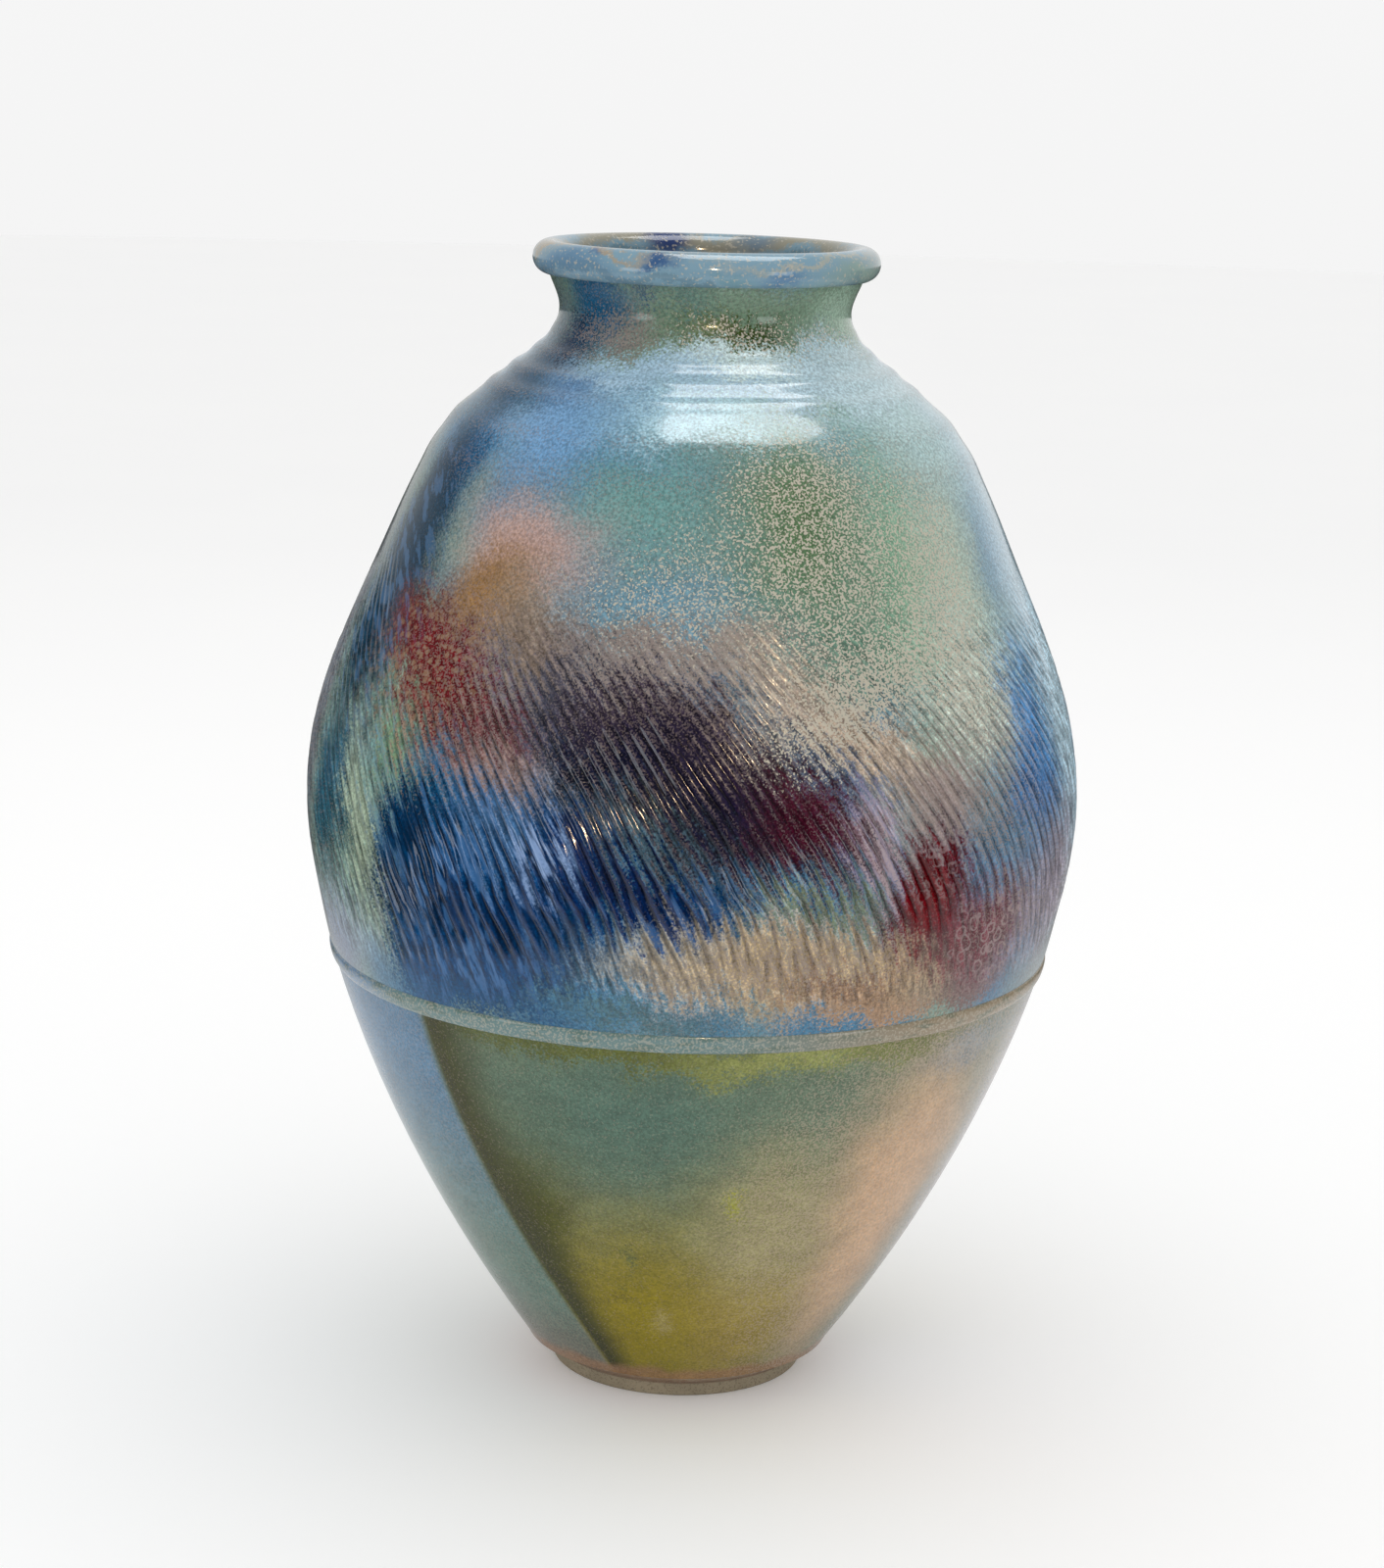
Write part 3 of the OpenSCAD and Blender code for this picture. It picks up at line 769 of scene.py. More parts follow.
LOWER_SPRAYS = [
    Spray("teal_top", -8, 158, 36, 40, 0, 0.7, 1.0, (0.35, 0.45, 0.40)),
    Spray("blue_right", 22, 162, 12, 22, 0, 0.8, 0.9, (0.42, 0.49, 0.42)),
    Spray("olive_foot", -10, 46, 36, 62, 0, 0.6, 1.0, (0.56, 0.51, 0.20)),
    Spray("olive_right", 20, 46, 20, 44, 0, 0.7, 0.9, (0.62, 0.55, 0.30)),
    Spray("olive_deep", -30, 92, 9, 50, 10, 0.7, 0.9, (0.27, 0.28, 0.0)),
    Spray("mixed_right", 20, 100, 16, 46, 0, 0.7, 0.9, (0.64, 0.61, 0.46)),
    Spray("shell_pink", 46, 104, 16, 86, 0, 0.5, 1.0, (0.82, 0.69, 0.57)),
    Spray("right_lavender", 84, 110, 24, 120, 0, 0.6, 1.0, (0.76, 0.75, 0.78)),
    Spray("steel_top", 54, 180, 14, 10, 0, 0.9, 0.7, (0.54, 0.58, 0.62)),
    Spray("moss_band", 2, 187, 52, 6, 0, 0.5, 0.95, (0.36, 0.38, 0.16)),
    Spray("moss_glow", 16, 186, 20, 6, 0, 0.9, 0.9, (0.60, 0.62, 0.40)),
    Spray("yellow_spot", 11, 112, 1.8, 4, 0, 0.6, 0.8, (0.62, 0.62, 0.28)),
    Spray("dark_spot", -11, 84, 1.5, 4, 20, 0.7, 0.7, (0.26, 0.33, 0.24)),
    Spray("dark_spot_low", -15, 66, 1.6, 3, 0, 0.8, 0.5, (0.30, 0.34, 0.22)),
    Spray("dark_smear", -15, 57, 7, 1.6, 0, 0.9, 0.6, (0.30, 0.28, 0.15)),
    Spray("pale_spot", -4, 45, 2.5, 6, 0, 0.9, 0.6, (0.66, 0.61, 0.46)),
    *across_back("back_teal_low", 130, 60, 70, 0, 0.7, 1.0, (0.36, 0.45, 0.42)),
    Spray("back_olive", 120, 60, 24, 60, 0, 0.7, 0.9, (0.46, 0.43, 0.24)),
    *across_back("back_olive_foot", 46, 50, 50, 0, 0.6, 1.0, (0.50, 0.47, 0.18)),
    Spray("back_pink", 128, 120, 14, 70, 0, 0.6, 0.9, (0.72, 0.64, 0.54)),
]

# The edge that the second pour left on the lower coat: the height in millimetres and the azimuth in degrees
# where it starts, and its lean and bend, in degrees for each millimetre down and each millimetre squared
POUR_TOP = 183.0
POUR_AZIMUTH = -44.5
POUR_LEAN = 0.034
POUR_BEND = 0.00053

# Where the lower coat is dusted with pink specks
DUSTY_SPRAYS = [
    Spray("dust_right", 56, 100, 56, 150, 0, 0.4, 0.52),
]

NECK_SPRAYS = [
    Spray("neck_band", 0, 453, 300, 9, 0, 0.5, 1.0, (0.68, 0.77, 0.83)),
    # Painted highlight of the overhead light on the top shoulder ring
    Spray("painted_highlight_top_ring", 14, 459, 24, 8, 0, 0.6, 0.95, (0.84, 0.90, 0.90)),
    Spray("neck_band_left", -62, 447, 20, 18, 0, 0.5, 0.95, (0.20, 0.30, 0.38)),
    Spray("neck_band_blue", -40, 446, 14, 9, 0, 0.7, 0.85, (0.42, 0.52, 0.64)),
    Spray("neck_band_right", 56, 450, 34, 13, 0, 0.5, 0.95, (0.76, 0.83, 0.85)),
    Spray("neck_sage", 0, 479, 400, 15, 0, 0.35, 1.0, (0.46, 0.54, 0.47)),
    Spray("neck_right", 66, 474, 26, 15, 0, 0.6, 0.95, (0.66, 0.74, 0.68)),
    Spray("neck_slate", -76, 468, 14, 18, 0, 0.6, 0.9, (0.38, 0.44, 0.47)),
    Spray("neck_blue", -45, 477, 20, 14, 0, 0.5, 0.95, (0.22, 0.36, 0.48)),
    Spray("neck_navy", -54, 463, 16, 9, 0, 0.6, 0.95, (0.10, 0.18, 0.28)),
    Spray("neck_tan", -30, 470, 12, 5, 0, 0.7, 0.8, (0.50, 0.48, 0.46)),
    Spray("neck_ink", -22, 484, 5, 5, 0, 0.7, 0.8, (0.14, 0.26, 0.42)),
    Spray("neck_teal", -8, 483, 13, 7, 0, 0.7, 0.8, (0.36, 0.47, 0.45)),
    Spray("neck_green", 8, 471, 20, 7, 0, 0.6, 0.95, (0.40, 0.44, 0.32)),
    Spray("neck_deep_green", 19, 471, 12, 6, 0, 0.6, 0.95, (0.18, 0.25, 0.10)),
    *across_back("neck_back", 474, 46, 14, 0, 0.6, 0.8, (0.34, 0.43, 0.48)),
]

LIP_SPRAYS = [
    Spray("under_shade", 0, 487, 400, 2.5, 0, 0.4, 0.7, (0.42, 0.54, 0.60)),
    Spray("blue_left", -52, 490, 22, 6, 0, 0.7, 0.8, (0.40, 0.54, 0.66)),
    Spray("green_right", 66, 491, 26, 6, 0, 0.7, 0.8, (0.58, 0.66, 0.60)),
    Spray("crest_left", -54, 499, 46, 2.0, 0, 0.6, 0.9, (0.70, 0.62, 0.50)),
    Spray("crest_right", 44, 500, 40, 1.6, 0, 0.6, 0.7, (0.72, 0.70, 0.62)),
    Spray("ink_spot", -14, 496, 6, 4, 0, 0.7, 0.85, (0.14, 0.30, 0.52)),
    Spray("ink_spot_left", -40, 497, 4, 3, 0, 0.8, 0.7, (0.26, 0.40, 0.58)),
    Spray("blue_spot", 26, 496, 8, 3, 0, 0.8, 0.8, (0.34, 0.50, 0.66)),
    Spray("teal_spot", 8, 494, 7, 3, 0, 0.8, 0.6, (0.44, 0.60, 0.64)),
    *across_back("inner_tan", 497, 110, 6, 0, 0.4, 0.85, (0.64, 0.60, 0.50)),
    Spray("ink_back", -163, 497, 10, 12, 0, 0.5, 0.95, (0.13, 0.24, 0.46)),
    Spray("blue_back", 160, 498, 9, 6, 0, 0.7, 0.7, (0.40, 0.52, 0.62)),
]

LINER_SPRAYS = [
    Spray("mouth_tan", 0, 478, 400, 16, 0, 0.5, 0.95, (0.60, 0.56, 0.46)),
    Spray("ink_run", -163, 482, 10, 34, 0, 0.5, 0.95, (0.12, 0.20, 0.40)),
    Spray("blue_side", 150, 474, 22, 16, 0, 0.9, 0.6, (0.40, 0.50, 0.58)),
]


# Heights in millimetres between which runs of glaze start to follow the flutes, and then stop
FLUTED_FROM = (200.0, 215.0)
FLUTED_TO = (335.0, 378.0)

# Roughness where crystals or bloom dull the glaze
SATIN = 0.34


def place_group(flutes):
    """A flat map of the face in millimetres, and a copy that spatter, runs and flutes have shaken"""
    tree = new_group(
        "Vase_Place", "ShaderNodeTree",
        {"Spatter": ("Float", 6.0), "Streak": ("Float", 0.0), "Comb": ("Float", 0.0),
         "Ridge": ("Float", 0.5)},
        {"Place": "Vector", "Shaken": "Vector", "Point": "Vector", "Flow": "Vector", "Height": "Float",
         "Degrees": "Float", "Fluted": "Float"},
    )
    src = tree.source
    point = tree.add("ShaderNodeTexCoord").outputs["Object"]
    axes = tree.add("ShaderNodeSeparateXYZ", {0: point}).outputs
    angle = tree.math("ARCTAN2", axes[0], tree.times(axes[1], -1.0))
    degrees = tree.times(angle, 180 / math.pi)
    height = tree.times(axes[2], 1000.0)
    place = tree.point(tree.times(degrees, MM_PER_DEGREE), height)

    # Runs of glaze follow the flutes, so the point is turned back by the flutes' own turn
    up = tree.minus(axes[2], flutes.low)
    gain = (flutes.slant_high - flutes.slant_low) / (flutes.high - flutes.low)
    turn = tree.times(tree.math("MULTIPLY_ADD", up, gain / 2, flutes.slant_low), up)
    flow = tree.vector("MULTIPLY", tree.turned(point, turn), (1.0, 1.0, 0.14))
    fluted = tree.times(tree.smooth(height, *FLUTED_TO, 1.0, 0.0), tree.smooth(height, *FLUTED_FROM))

    def shaken_by(noise, reach, amount):
        """A noise about zero, in millimetres: its reach along and up the face times its amount"""
        centred = tree.vector("SUBTRACT", noise, (0.5, 0.5, 0.5))
        return tree.scaled(tree.vector("MULTIPLY", centred, reach), amount)

    drift = shaken_by(tree.noise(point, 18.0, 4.0, 0.65, colour=True), (1.0, 1.0, 0.0), 48.0)
    grain = shaken_by(tree.noise(point, 900.0, 1.0, 0.6, colour=True), (4.0, 4.0, 0.0), src["Spatter"])
    run = tree.times(src["Streak"], tree.smooth(fluted, 0.0, 1.0, 0.25, 1.0))
    runs = shaken_by(tree.noise(flow, 420.0, 2.0, 0.6, colour=True), (0.5, 4.0, 0.0), run)
    comb = tree.times(tree.minus(src["Ridge"], 0.5), tree.times(src["Comb"], fluted))
    total = tree.vector("ADD", tree.vector("ADD", place, drift), tree.vector("ADD", grain, runs))
    total = tree.vector("ADD", total, tree.point(0.0, comb))
    return tree.finish(
        Place=place, Shaken=total, Point=point, Flow=flow, Height=height, Degrees=degrees, Fluted=fluted
    )


def spray_group():
    """The mask of one spray on the flat map"""
    tree = new_group(
        "Spray", "ShaderNodeTree",
        {"Place": ("Vector", None), "Centre": ("Vector", (0, 0, 0)), "Reach": ("Vector", (10, 10, 1)),
         "Lean": ("Float", 0.0), "Soft": ("Float", 0.8), "Strength": ("Float", 1.0)},
        {"Mask": "Float"},
    )
    src = tree.source
    away = tree.vector("SUBTRACT", src["Place"], src["Centre"])
    share = tree.vector("LENGTH", tree.vector("DIVIDE", tree.turned(away, src["Lean"]), src["Reach"]))
    falloff = tree.math("POWER", share, tree.math("DIVIDE", 1.8, src["Soft"]))
    mask = tree.math("EXPONENT", tree.times(falloff, -1.3))
    return tree.finish(Mask=tree.times(mask, src["Strength"]))


def spray_mask(tree, place, spray):
    """One spray's mask in a tree"""
    return tree.group(
        bpy.data.node_groups["Spray"],
        Place=place,
        Centre=(spray.azimuth * MM_PER_DEGREE, spray.height, 0.0),
        Reach=(spray.width * MM_PER_DEGREE, spray.rise, 1.0),
        Lean=math.radians(spray.lean),
        Soft=spray.soft,
        Strength=spray.strength,
    )["Mask"]


def sprayed(tree, place, sprays, base):
    """The colour left by a list of sprays over a base colour"""
    colour = base
    for spray in sprays:
        colour = tree.blend(spray_mask(tree, place, spray), colour, spray.colour)
    return colour


def density(tree, place, sprays, base=0.0):
    """How thick something grew, where the thickest of a list of sprays counts"""
    total = base
    for spray in sprays:
        total = tree.math("MAXIMUM", total, spray_mask(tree, place, spray))
    return total


def speckle_group():
    """Irregular specks of a given size that cover a share of the surface"""
    tree = new_group(
        "Speckle", "ShaderNodeTree",
        {"Point": ("Vector", None), "Size": ("Float", 1.2), "Cover": ("Float", 0.5)},
        {"Mask": "Float"},
    )
    src = tree.source
    scale = tree.math("DIVIDE", 1000.0, src["Size"])
    value = tree.noise(src["Point"], scale, 1.0, 0.4)
    level = tree.math("MULTIPLY_ADD", src["Cover"], -0.40, 0.70)
    mask = tree.smooth(value, tree.minus(level, 0.03), tree.plus(level, 0.03))
    return tree.finish(Mask=mask)


def glaze_surface(tree, colour, dull, point, grain_height, roughness=0.12, ior=1.5):
    """The glaze's own shader: glossy where it is clear, satin where crystals or bloom dull it"""
    rough = tree.smooth(dull, 0.0, 1.0, roughness, SATIN)
    peel = tree.noise(point, 220.0, 2.0)
    height = tree.plus(tree.times(peel, 0.35), grain_height)
    bump = tree.bumped(height, 0.35)
    shader = tree.add(
        "ShaderNodeBsdfPrincipled",
        {"Base Color": colour, "Roughness": rough, "Normal": bump, "IOR": ior},
    )
    tree.add("ShaderNodeOutputMaterial", {"Surface": shader.outputs[0]})


def new_material(name):
    material = bpy.data.materials.new(name)
    material.use_nodes = True
    material.node_tree.nodes.clear()
    return material, Tree(material.node_tree)


def cells_group():
    """Round pale cells a few millimetres wide in a darker net, and thin rings"""
    tree = new_group(
        "Cells", "ShaderNodeTree", {"Point": ("Vector", None), "Size": ("Float", 3.5)},
        {"Mask": "Float", "Ring": "Float"},
    )
    src = tree.source
    noise = tree.noise(src["Point"], 500.0, 1.0, 0.5, colour=True)
    wander = tree.vector("SUBTRACT", noise, (0.5, 0.5, 0.5))
    point = tree.vector("MULTIPLY_ADD", wander, (0.0025, 0.0025, 0.0025), src["Point"])
    scale = tree.math("DIVIDE", 1000.0, src["Size"])
    cells = tree.add("ShaderNodeTexVoronoi", {"Vector": point, "Scale": scale}, feature="F1")
    away = cells.outputs["Distance"]
    mask = tree.smooth(away, 0.22, 0.50, 1.0, 0.0)
    return tree.finish(Mask=mask, Ring=tree.band(away, 0.26, 0.36, 0.38, 0.48))


def specks(tree, place, size, cover):
    """A mask of specks, of a size in millimetres, that cover a share of the surface"""
    speckle = bpy.data.node_groups["Speckle"]
    return tree.group(speckle, Point=place["Point"], Size=size, Cover=cover)["Mask"]


def flute_material(name, colours):
    """Belly, shoulder and neck: clouds of colour, rich in the grooves and breaking to tan on the ridges,
    with painted reflections of the lights
    """
    material, tree = new_material(name)
    ridge = tree.add("ShaderNodeAttribute", attribute_name="ridge").outputs["Fac"]
    groups = bpy.data.node_groups
    place = tree.group(groups["Vase_Place"], Spatter=7.0, Streak=8.0, Comb=15.0, Ridge=ridge)
    shaken = place["Shaken"]
    drifting = tree.smooth(tree.noise(place["Point"], 11.0, 2.0), 0.38, 0.62)
    base = tree.blend(drifting, (0.36, 0.50, 0.60), (0.52, 0.60, 0.55))
    colour = sprayed(tree, shaken, BELLY_SPRAYS + NECK_SPRAYS, base)

    # Glaze runs thick and thin along the flutes, and is grainy everywhere
    runs = tree.noise(place["Flow"], 420.0, 3.0, 0.65)
    thick = tree.smooth(runs, 0.30, 0.70, 0.55, 1.55)
    thick = tree.add("ShaderNodeMix", {0: place["Fluted"], 2: 1.0, 3: thick}).outputs[0]
    grain = tree.smooth(tree.noise(place["Point"], 800.0, 2.0, 0.7), 0.3, 0.7, 0.72, 1.28)
    groove = tree.smooth(ridge, 0.05, 0.5, 0.42, 1.05)
    value = tree.times(groove, thick, grain)
    colour = tree.strengthened(colour, 1.25, value)
    ochre = tree.group(groups["Cells"], Point=place["Point"], Size=3.4)["Mask"]
    ochre = tree.times(ochre, density(tree, shaken, OCHRE_CELLS))
    colour = tree.blend(ochre, colour, (0.58, 0.46, 0.36))
    rings = tree.group(groups["Cells"], Point=place["Point"], Size=7.0)["Ring"]
    rings = tree.times(rings, density(tree, shaken, PALE_RINGS))
    colour = tree.blend(rings, colour, (0.66, 0.58, 0.58))

    # Pale runs along the flutes, which also carry the painted reflections of the strip lights
    streaky = tree.noise(place["Flow"], 230.0, 3.0, 0.6)
    paler = tree.times(tree.smooth(streaky, 0.50, 0.60), density(tree, shaken, STREAK_AND_REFLECTION_SPRAYS))
    colour = tree.blend(paler, colour, sprayed(tree, shaken, STREAK_AND_REFLECTION_SPRAYS, (0.36, 0.55, 0.78)))

    # Ridges break to tan, and where the strip lights reflect, to painted reflections
    break_and_reflection = density(tree, shaken, BREAK_AND_REFLECTION_SPRAYS, 0.4)
    ridge_colour = sprayed(tree, shaken, BREAK_AND_REFLECTION_SPRAYS, colours.bloom)
    bloom = density(tree, shaken, BLOOM_SPRAYS, 0.28)
    clear = tree.minus(1.0, density(tree, shaken, CLEAR_SPRAYS))
    bloom = tree.times(bloom, clear)
    lifted = tree.times(tree.smooth(ridge, 0.5, 0.95, 0.0, 0.5), break_and_reflection)
    lifted = tree.times(lifted, tree.math("MULTIPLY_ADD", clear, 0.5, 0.5))
    cover = tree.plus(bloom, lifted)
    fine = specks(tree, place, 0.85, cover)
    fine = tree.times(fine, tree.smooth(cover, 0.0, 0.8, 0.05, 0.75))
    colour = tree.blend(fine, colour, ridge_colour)
    grown = density(tree, shaken, CRYSTAL_SPRAYS)
    coarse = specks(tree, place, 0.95, grown)
    coarse = tree.times(coarse, tree.smooth(grown, 0.02, 0.25))
    colour = tree.blend(tree.times(coarse, 0.95), colour, colours.crystal)
    dull = tree.math("MAXIMUM", fine, coarse)
    glaze_surface(tree, colour, dull, place["Point"], tree.times(dull, 0.4))
    return material


def lower_material():
    """Below the roll: olive and teal, with a slanted edge of pale blue to the left"""
    material, tree = new_material("Lower_Glaze")
    place = tree.group(bpy.data.node_groups["Vase_Place"], Spatter=5.0)
    colour = sprayed(tree, place["Shaken"], LOWER_SPRAYS, (0.44, 0.48, 0.38))

    # The edge left by the second pour leans in towards the foot
    down = tree.minus(POUR_TOP, place["Height"])
    bent = tree.math("MULTIPLY_ADD", down, POUR_BEND, POUR_LEAN)
    edge = tree.math("MULTIPLY_ADD", bent, down, POUR_AZIMUTH)
    past = tree.minus(place["Degrees"], edge)
    strip = tree.band(past, -1.0, 1.5, 2.0, 15.0)
    colour = tree.blend(strip, colour, (0.21, 0.22, 0.0))
    pale = tree.blend(tree.smooth(place["Height"], 60.0, 175.0), (0.40, 0.50, 0.46), (0.39, 0.52, 0.63))
    pale = tree.blend(tree.smooth(place["Height"], 12.0, 60.0, 0.8, 0.0), pale, (0.44, 0.42, 0.38))
    before = tree.smooth(past, -1.5, 1.0, 1.0, 0.0)
    left = tree.times(before, tree.smooth(place["Degrees"], -150.0, -120.0))
    colour = tree.blend(left, colour, pale)
    heel_line = tree.math("MULTIPLY_ADD", tree.noise(place["Point"], 60.0, 3.0), 10.0, 14.0)
    near_heel = tree.smooth(tree.minus(place["Height"], heel_line), -3.0, 2.0, 0.8, 0.0)
    colour = tree.blend(near_heel, colour, (0.61, 0.48, 0.38))

    dusty = density(tree, place["Shaken"], DUSTY_SPRAYS, 0.15)
    grown = tree.math("MAXIMUM", dusty, tree.times(left, 0.4))
    grain = tree.smooth(tree.noise(place["Point"], 800.0, 2.0, 0.7), 0.3, 0.7, 0.78, 1.22)
    cloudy = tree.noise(tree.vector("MULTIPLY", place["Point"], (1.0, 1.0, 1.6)), 70.0, 3.0, 0.6)
    value = tree.times(grain, tree.smooth(cloudy, 0.3, 0.7, 0.90, 1.10))
    colour = tree.strengthened(colour, 1.12, value)
    fine = specks(tree, place, 0.9, grown)
    fine = tree.times(fine, tree.smooth(dusty, 0.2, 0.5, 0.18, 0.45))
    colour = tree.blend(fine, colour, (0.76, 0.68, 0.60))
    glaze_surface(tree, colour, fine, place["Point"], tree.times(fine, 0.4), ior=1.4)
    return material


def sprayed_material(name, sprays, base, colours, cover, roughness=0.11):
    """A plain coat with its own sprays and a little bloom"""
    material, tree = new_material(name)
    place = tree.group(bpy.data.node_groups["Vase_Place"], Spatter=1.5)
    colour = sprayed(tree, place["Shaken"], sprays, base)
    patchy = tree.smooth(tree.noise(place["Point"], 45.0, 2.0), 0.35, 0.7, 0.1, cover)
    fine = tree.times(specks(tree, place, 1.4, patchy), 0.6)
    colour = tree.blend(fine, colour, colours.crystal)
    glaze_surface(tree, colour, fine, place["Point"], tree.times(fine, 0.4), roughness)
    return material


def roll_material(colours):
    """The roll of run glaze: blue-green, turning tan to the right and pale blue to the far left"""
    material, tree = new_material("Roll_Glaze")
    place = tree.group(bpy.data.node_groups["Vase_Place"], Spatter=2.0)
    warm = tree.band(place["Degrees"], 0.0, 40.0, 90.0, 170.0)
    colour = tree.blend(warm, (0.44, 0.55, 0.55), (0.60, 0.54, 0.45))
    cool = tree.band(place["Degrees"], -150.0, -110.0, -64.0, -46.0)
    colour = tree.blend(cool, colour, (0.44, 0.56, 0.68))
    streak = tree.noise(tree.vector("MULTIPLY", place["Point"], (1.0, 1.0, 4.0)), 90.0, 2.0)
    colour = tree.blend(tree.smooth(streak, 0.45, 0.7, 0.0, 0.6), colour, (0.34, 0.42, 0.36))
    fine = tree.times(specks(tree, place, 1.0, 0.4), 0.4)
    colour = tree.blend(fine, colour, colours.crystal)
    glaze_surface(tree, colour, fine, place["Point"], fine)
    return material


def clay_material(name, colour, size=0.8):
    """Bare fired clay with fine grog and faint turning lines"""
    material, tree = new_material(name)
    place = tree.group(bpy.data.node_groups["Vase_Place"], Spatter=0.0)
    patches = tree.noise(place["Point"], 40.0, 3.0)
    base = tree.blend(tree.smooth(patches, 0.3, 0.7, 0.0, 0.6), colour, [c * 0.82 for c in colour])
    grog = specks(tree, place, size, 0.25)
    base = tree.blend(tree.times(grog, 0.5), base, [c * 0.6 for c in colour])
    lines = tree.noise(tree.vector("MULTIPLY", place["Point"], (0.05, 0.05, 1.0)), 900.0, 2.0)
    height = tree.plus(tree.times(lines, 0.5), tree.times(grog, 0.5))
    bump = tree.bumped(height, 0.5)
    rough = tree.smooth(patches, 0.2, 0.8, 0.7, 0.9)
    inputs = {"Base Color": base, "Roughness": rough, "Normal": bump}
    shader = tree.add("ShaderNodeBsdfPrincipled", inputs)
    tree.add("ShaderNodeOutputMaterial", {"Surface": shader.outputs[0]})
    return material


# ---------------------------------------------------------------- operators


class VASE_OT_trees(bpy.types.Operator):
    """Build the node groups and the materials that the pieces share"""

    bl_idname = "vase.trees"
    bl_label = "Build Glazes"

    def execute(self, context):
        colours = context.scene.vase_colours
        coat_tree(slant_tree(), flute_tree(), ring_tree())
        place_group(context.scene.vase_flutes)
        spray_group()
        speckle_group()
        cells_group()
        flute_material("Belly_Glaze", colours)
        flute_material("Neck_Glaze", colours)
        lower_material()
        roll_material(colours)
        sprayed_material("Lip_Glaze", LIP_SPRAYS, (0.52, 0.65, 0.72), colours, 0.22)
        sprayed_material("Liner_Glaze", LINER_SPRAYS, (0.44, 0.42, 0.36), colours, 0.4, 0.25)
        sprayed_material("Heel_Glaze", [], (0.60, 0.46, 0.37), colours, 0.5, 0.3)
        clay_material("Bare_Clay", colours.clay)
        clay_material("Joining_Slip", colours.slip, 0.5)
        return {"FINISHED"}


class VASE_OT_belly(bpy.types.Operator):
    """Turn the fluted coat of the belly, in two bands that meet at the belly's seam"""

    bl_idname = "vase.belly"
    bl_label = "Belly Coat"

    def execute(self, context):
        outline = Outline()
        columns = COLUMNS_PER_FLUTE * context.scene.vase_flutes.count
        low = coat_section(outline, ROLL_HIGH, BELLY_HEIGHT, 1.6 * MM)
        turn_piece("flute_glaze_low", low, columns, "Belly_Glaze", ["flute_glaze"], "flute_glaze")
        high = coat_section(outline, BELLY_HEIGHT, FLUTE_TOP, 2.1 * MM)
        turn_piece("flute_glaze_high", high, columns, "Belly_Glaze", ["flute_glaze"], "flute_glaze")
        return {"FINISHED"}


class VASE_OT_shoulder(bpy.types.Operator):
    """Turn the ringed coats of the shoulder and the neck"""

    bl_idname = "vase.shoulder"
    bl_label = "Shoulder and Neck Coats"

    def execute(self, context):
        outline = Outline()
        shoulder = coat_section(outline, FLUTE_TOP, COLLAR_HEIGHT, MM)
        turn_piece("shoulder_glaze", shoulder, BODY_COLUMNS, "Belly_Glaze")
        collar = coat_section(outline, COLLAR_HEIGHT, NECK_TOP, 0.8 * MM, 4 * MM)
        turn_piece("neck_glaze", collar, NECK_COLUMNS, "Neck_Glaze", fluted=False)
        return {"FINISHED"}


class VASE_OT_lip(bpy.types.Operator):
    """Turn the rolled lip's coat and the liner inside the mouth"""

    bl_idname = "vase.lip"
    bl_label = "Lip and Liner"

    def execute(self, context):
        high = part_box("lip_glaze")[1]
        radius = (high.z - NECK_TOP) / 2
        centre = (high.x - radius, high.z - radius)
        below_top = LINER_TOP - 0.3 * MM
        liner_edge = outer_radius(["liner_glaze"], below_top, inside=True)
        face = plain_rows([(centre[0], NECK_TOP)]) + arc_section(centre, radius, -75, 180, 5)
        face += plain_rows([(liner_edge, LINER_TOP)])
        back = plain_rows([(liner_edge + COAT, LINER_TOP)])
        back += arc_section(centre, radius - COAT, 180, -75, 15, 0.0)
        turn_piece("lip_glaze", face + back, NECK_COLUMNS, "Lip_Glaze", fluted=False)

        heights = np.linspace(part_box("liner_glaze")[0].z + 3 * MM, below_top, 150)
        radii = np.array([outer_radius(["liner_glaze"], z, inside=True) for z in heights])
        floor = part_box("liner_glaze")[0].z + LINER
        inner = plain_rows([(liner_edge, LINER_TOP)])
        inner += plain_rows([*zip(radii[::-1], heights[::-1])]) + plain_rows([(0.0, floor)])
        under = [(r + LINER, z - LINER / 2) for r, z in zip(radii[::6], heights[::6])]
        outer = plain_rows([(0.0, floor - LINER), *under])
        turn_piece("liner_glaze", inner + outer, LINER_COLUMNS, "Liner_Glaze", fluted=False)
        return {"FINISHED"}


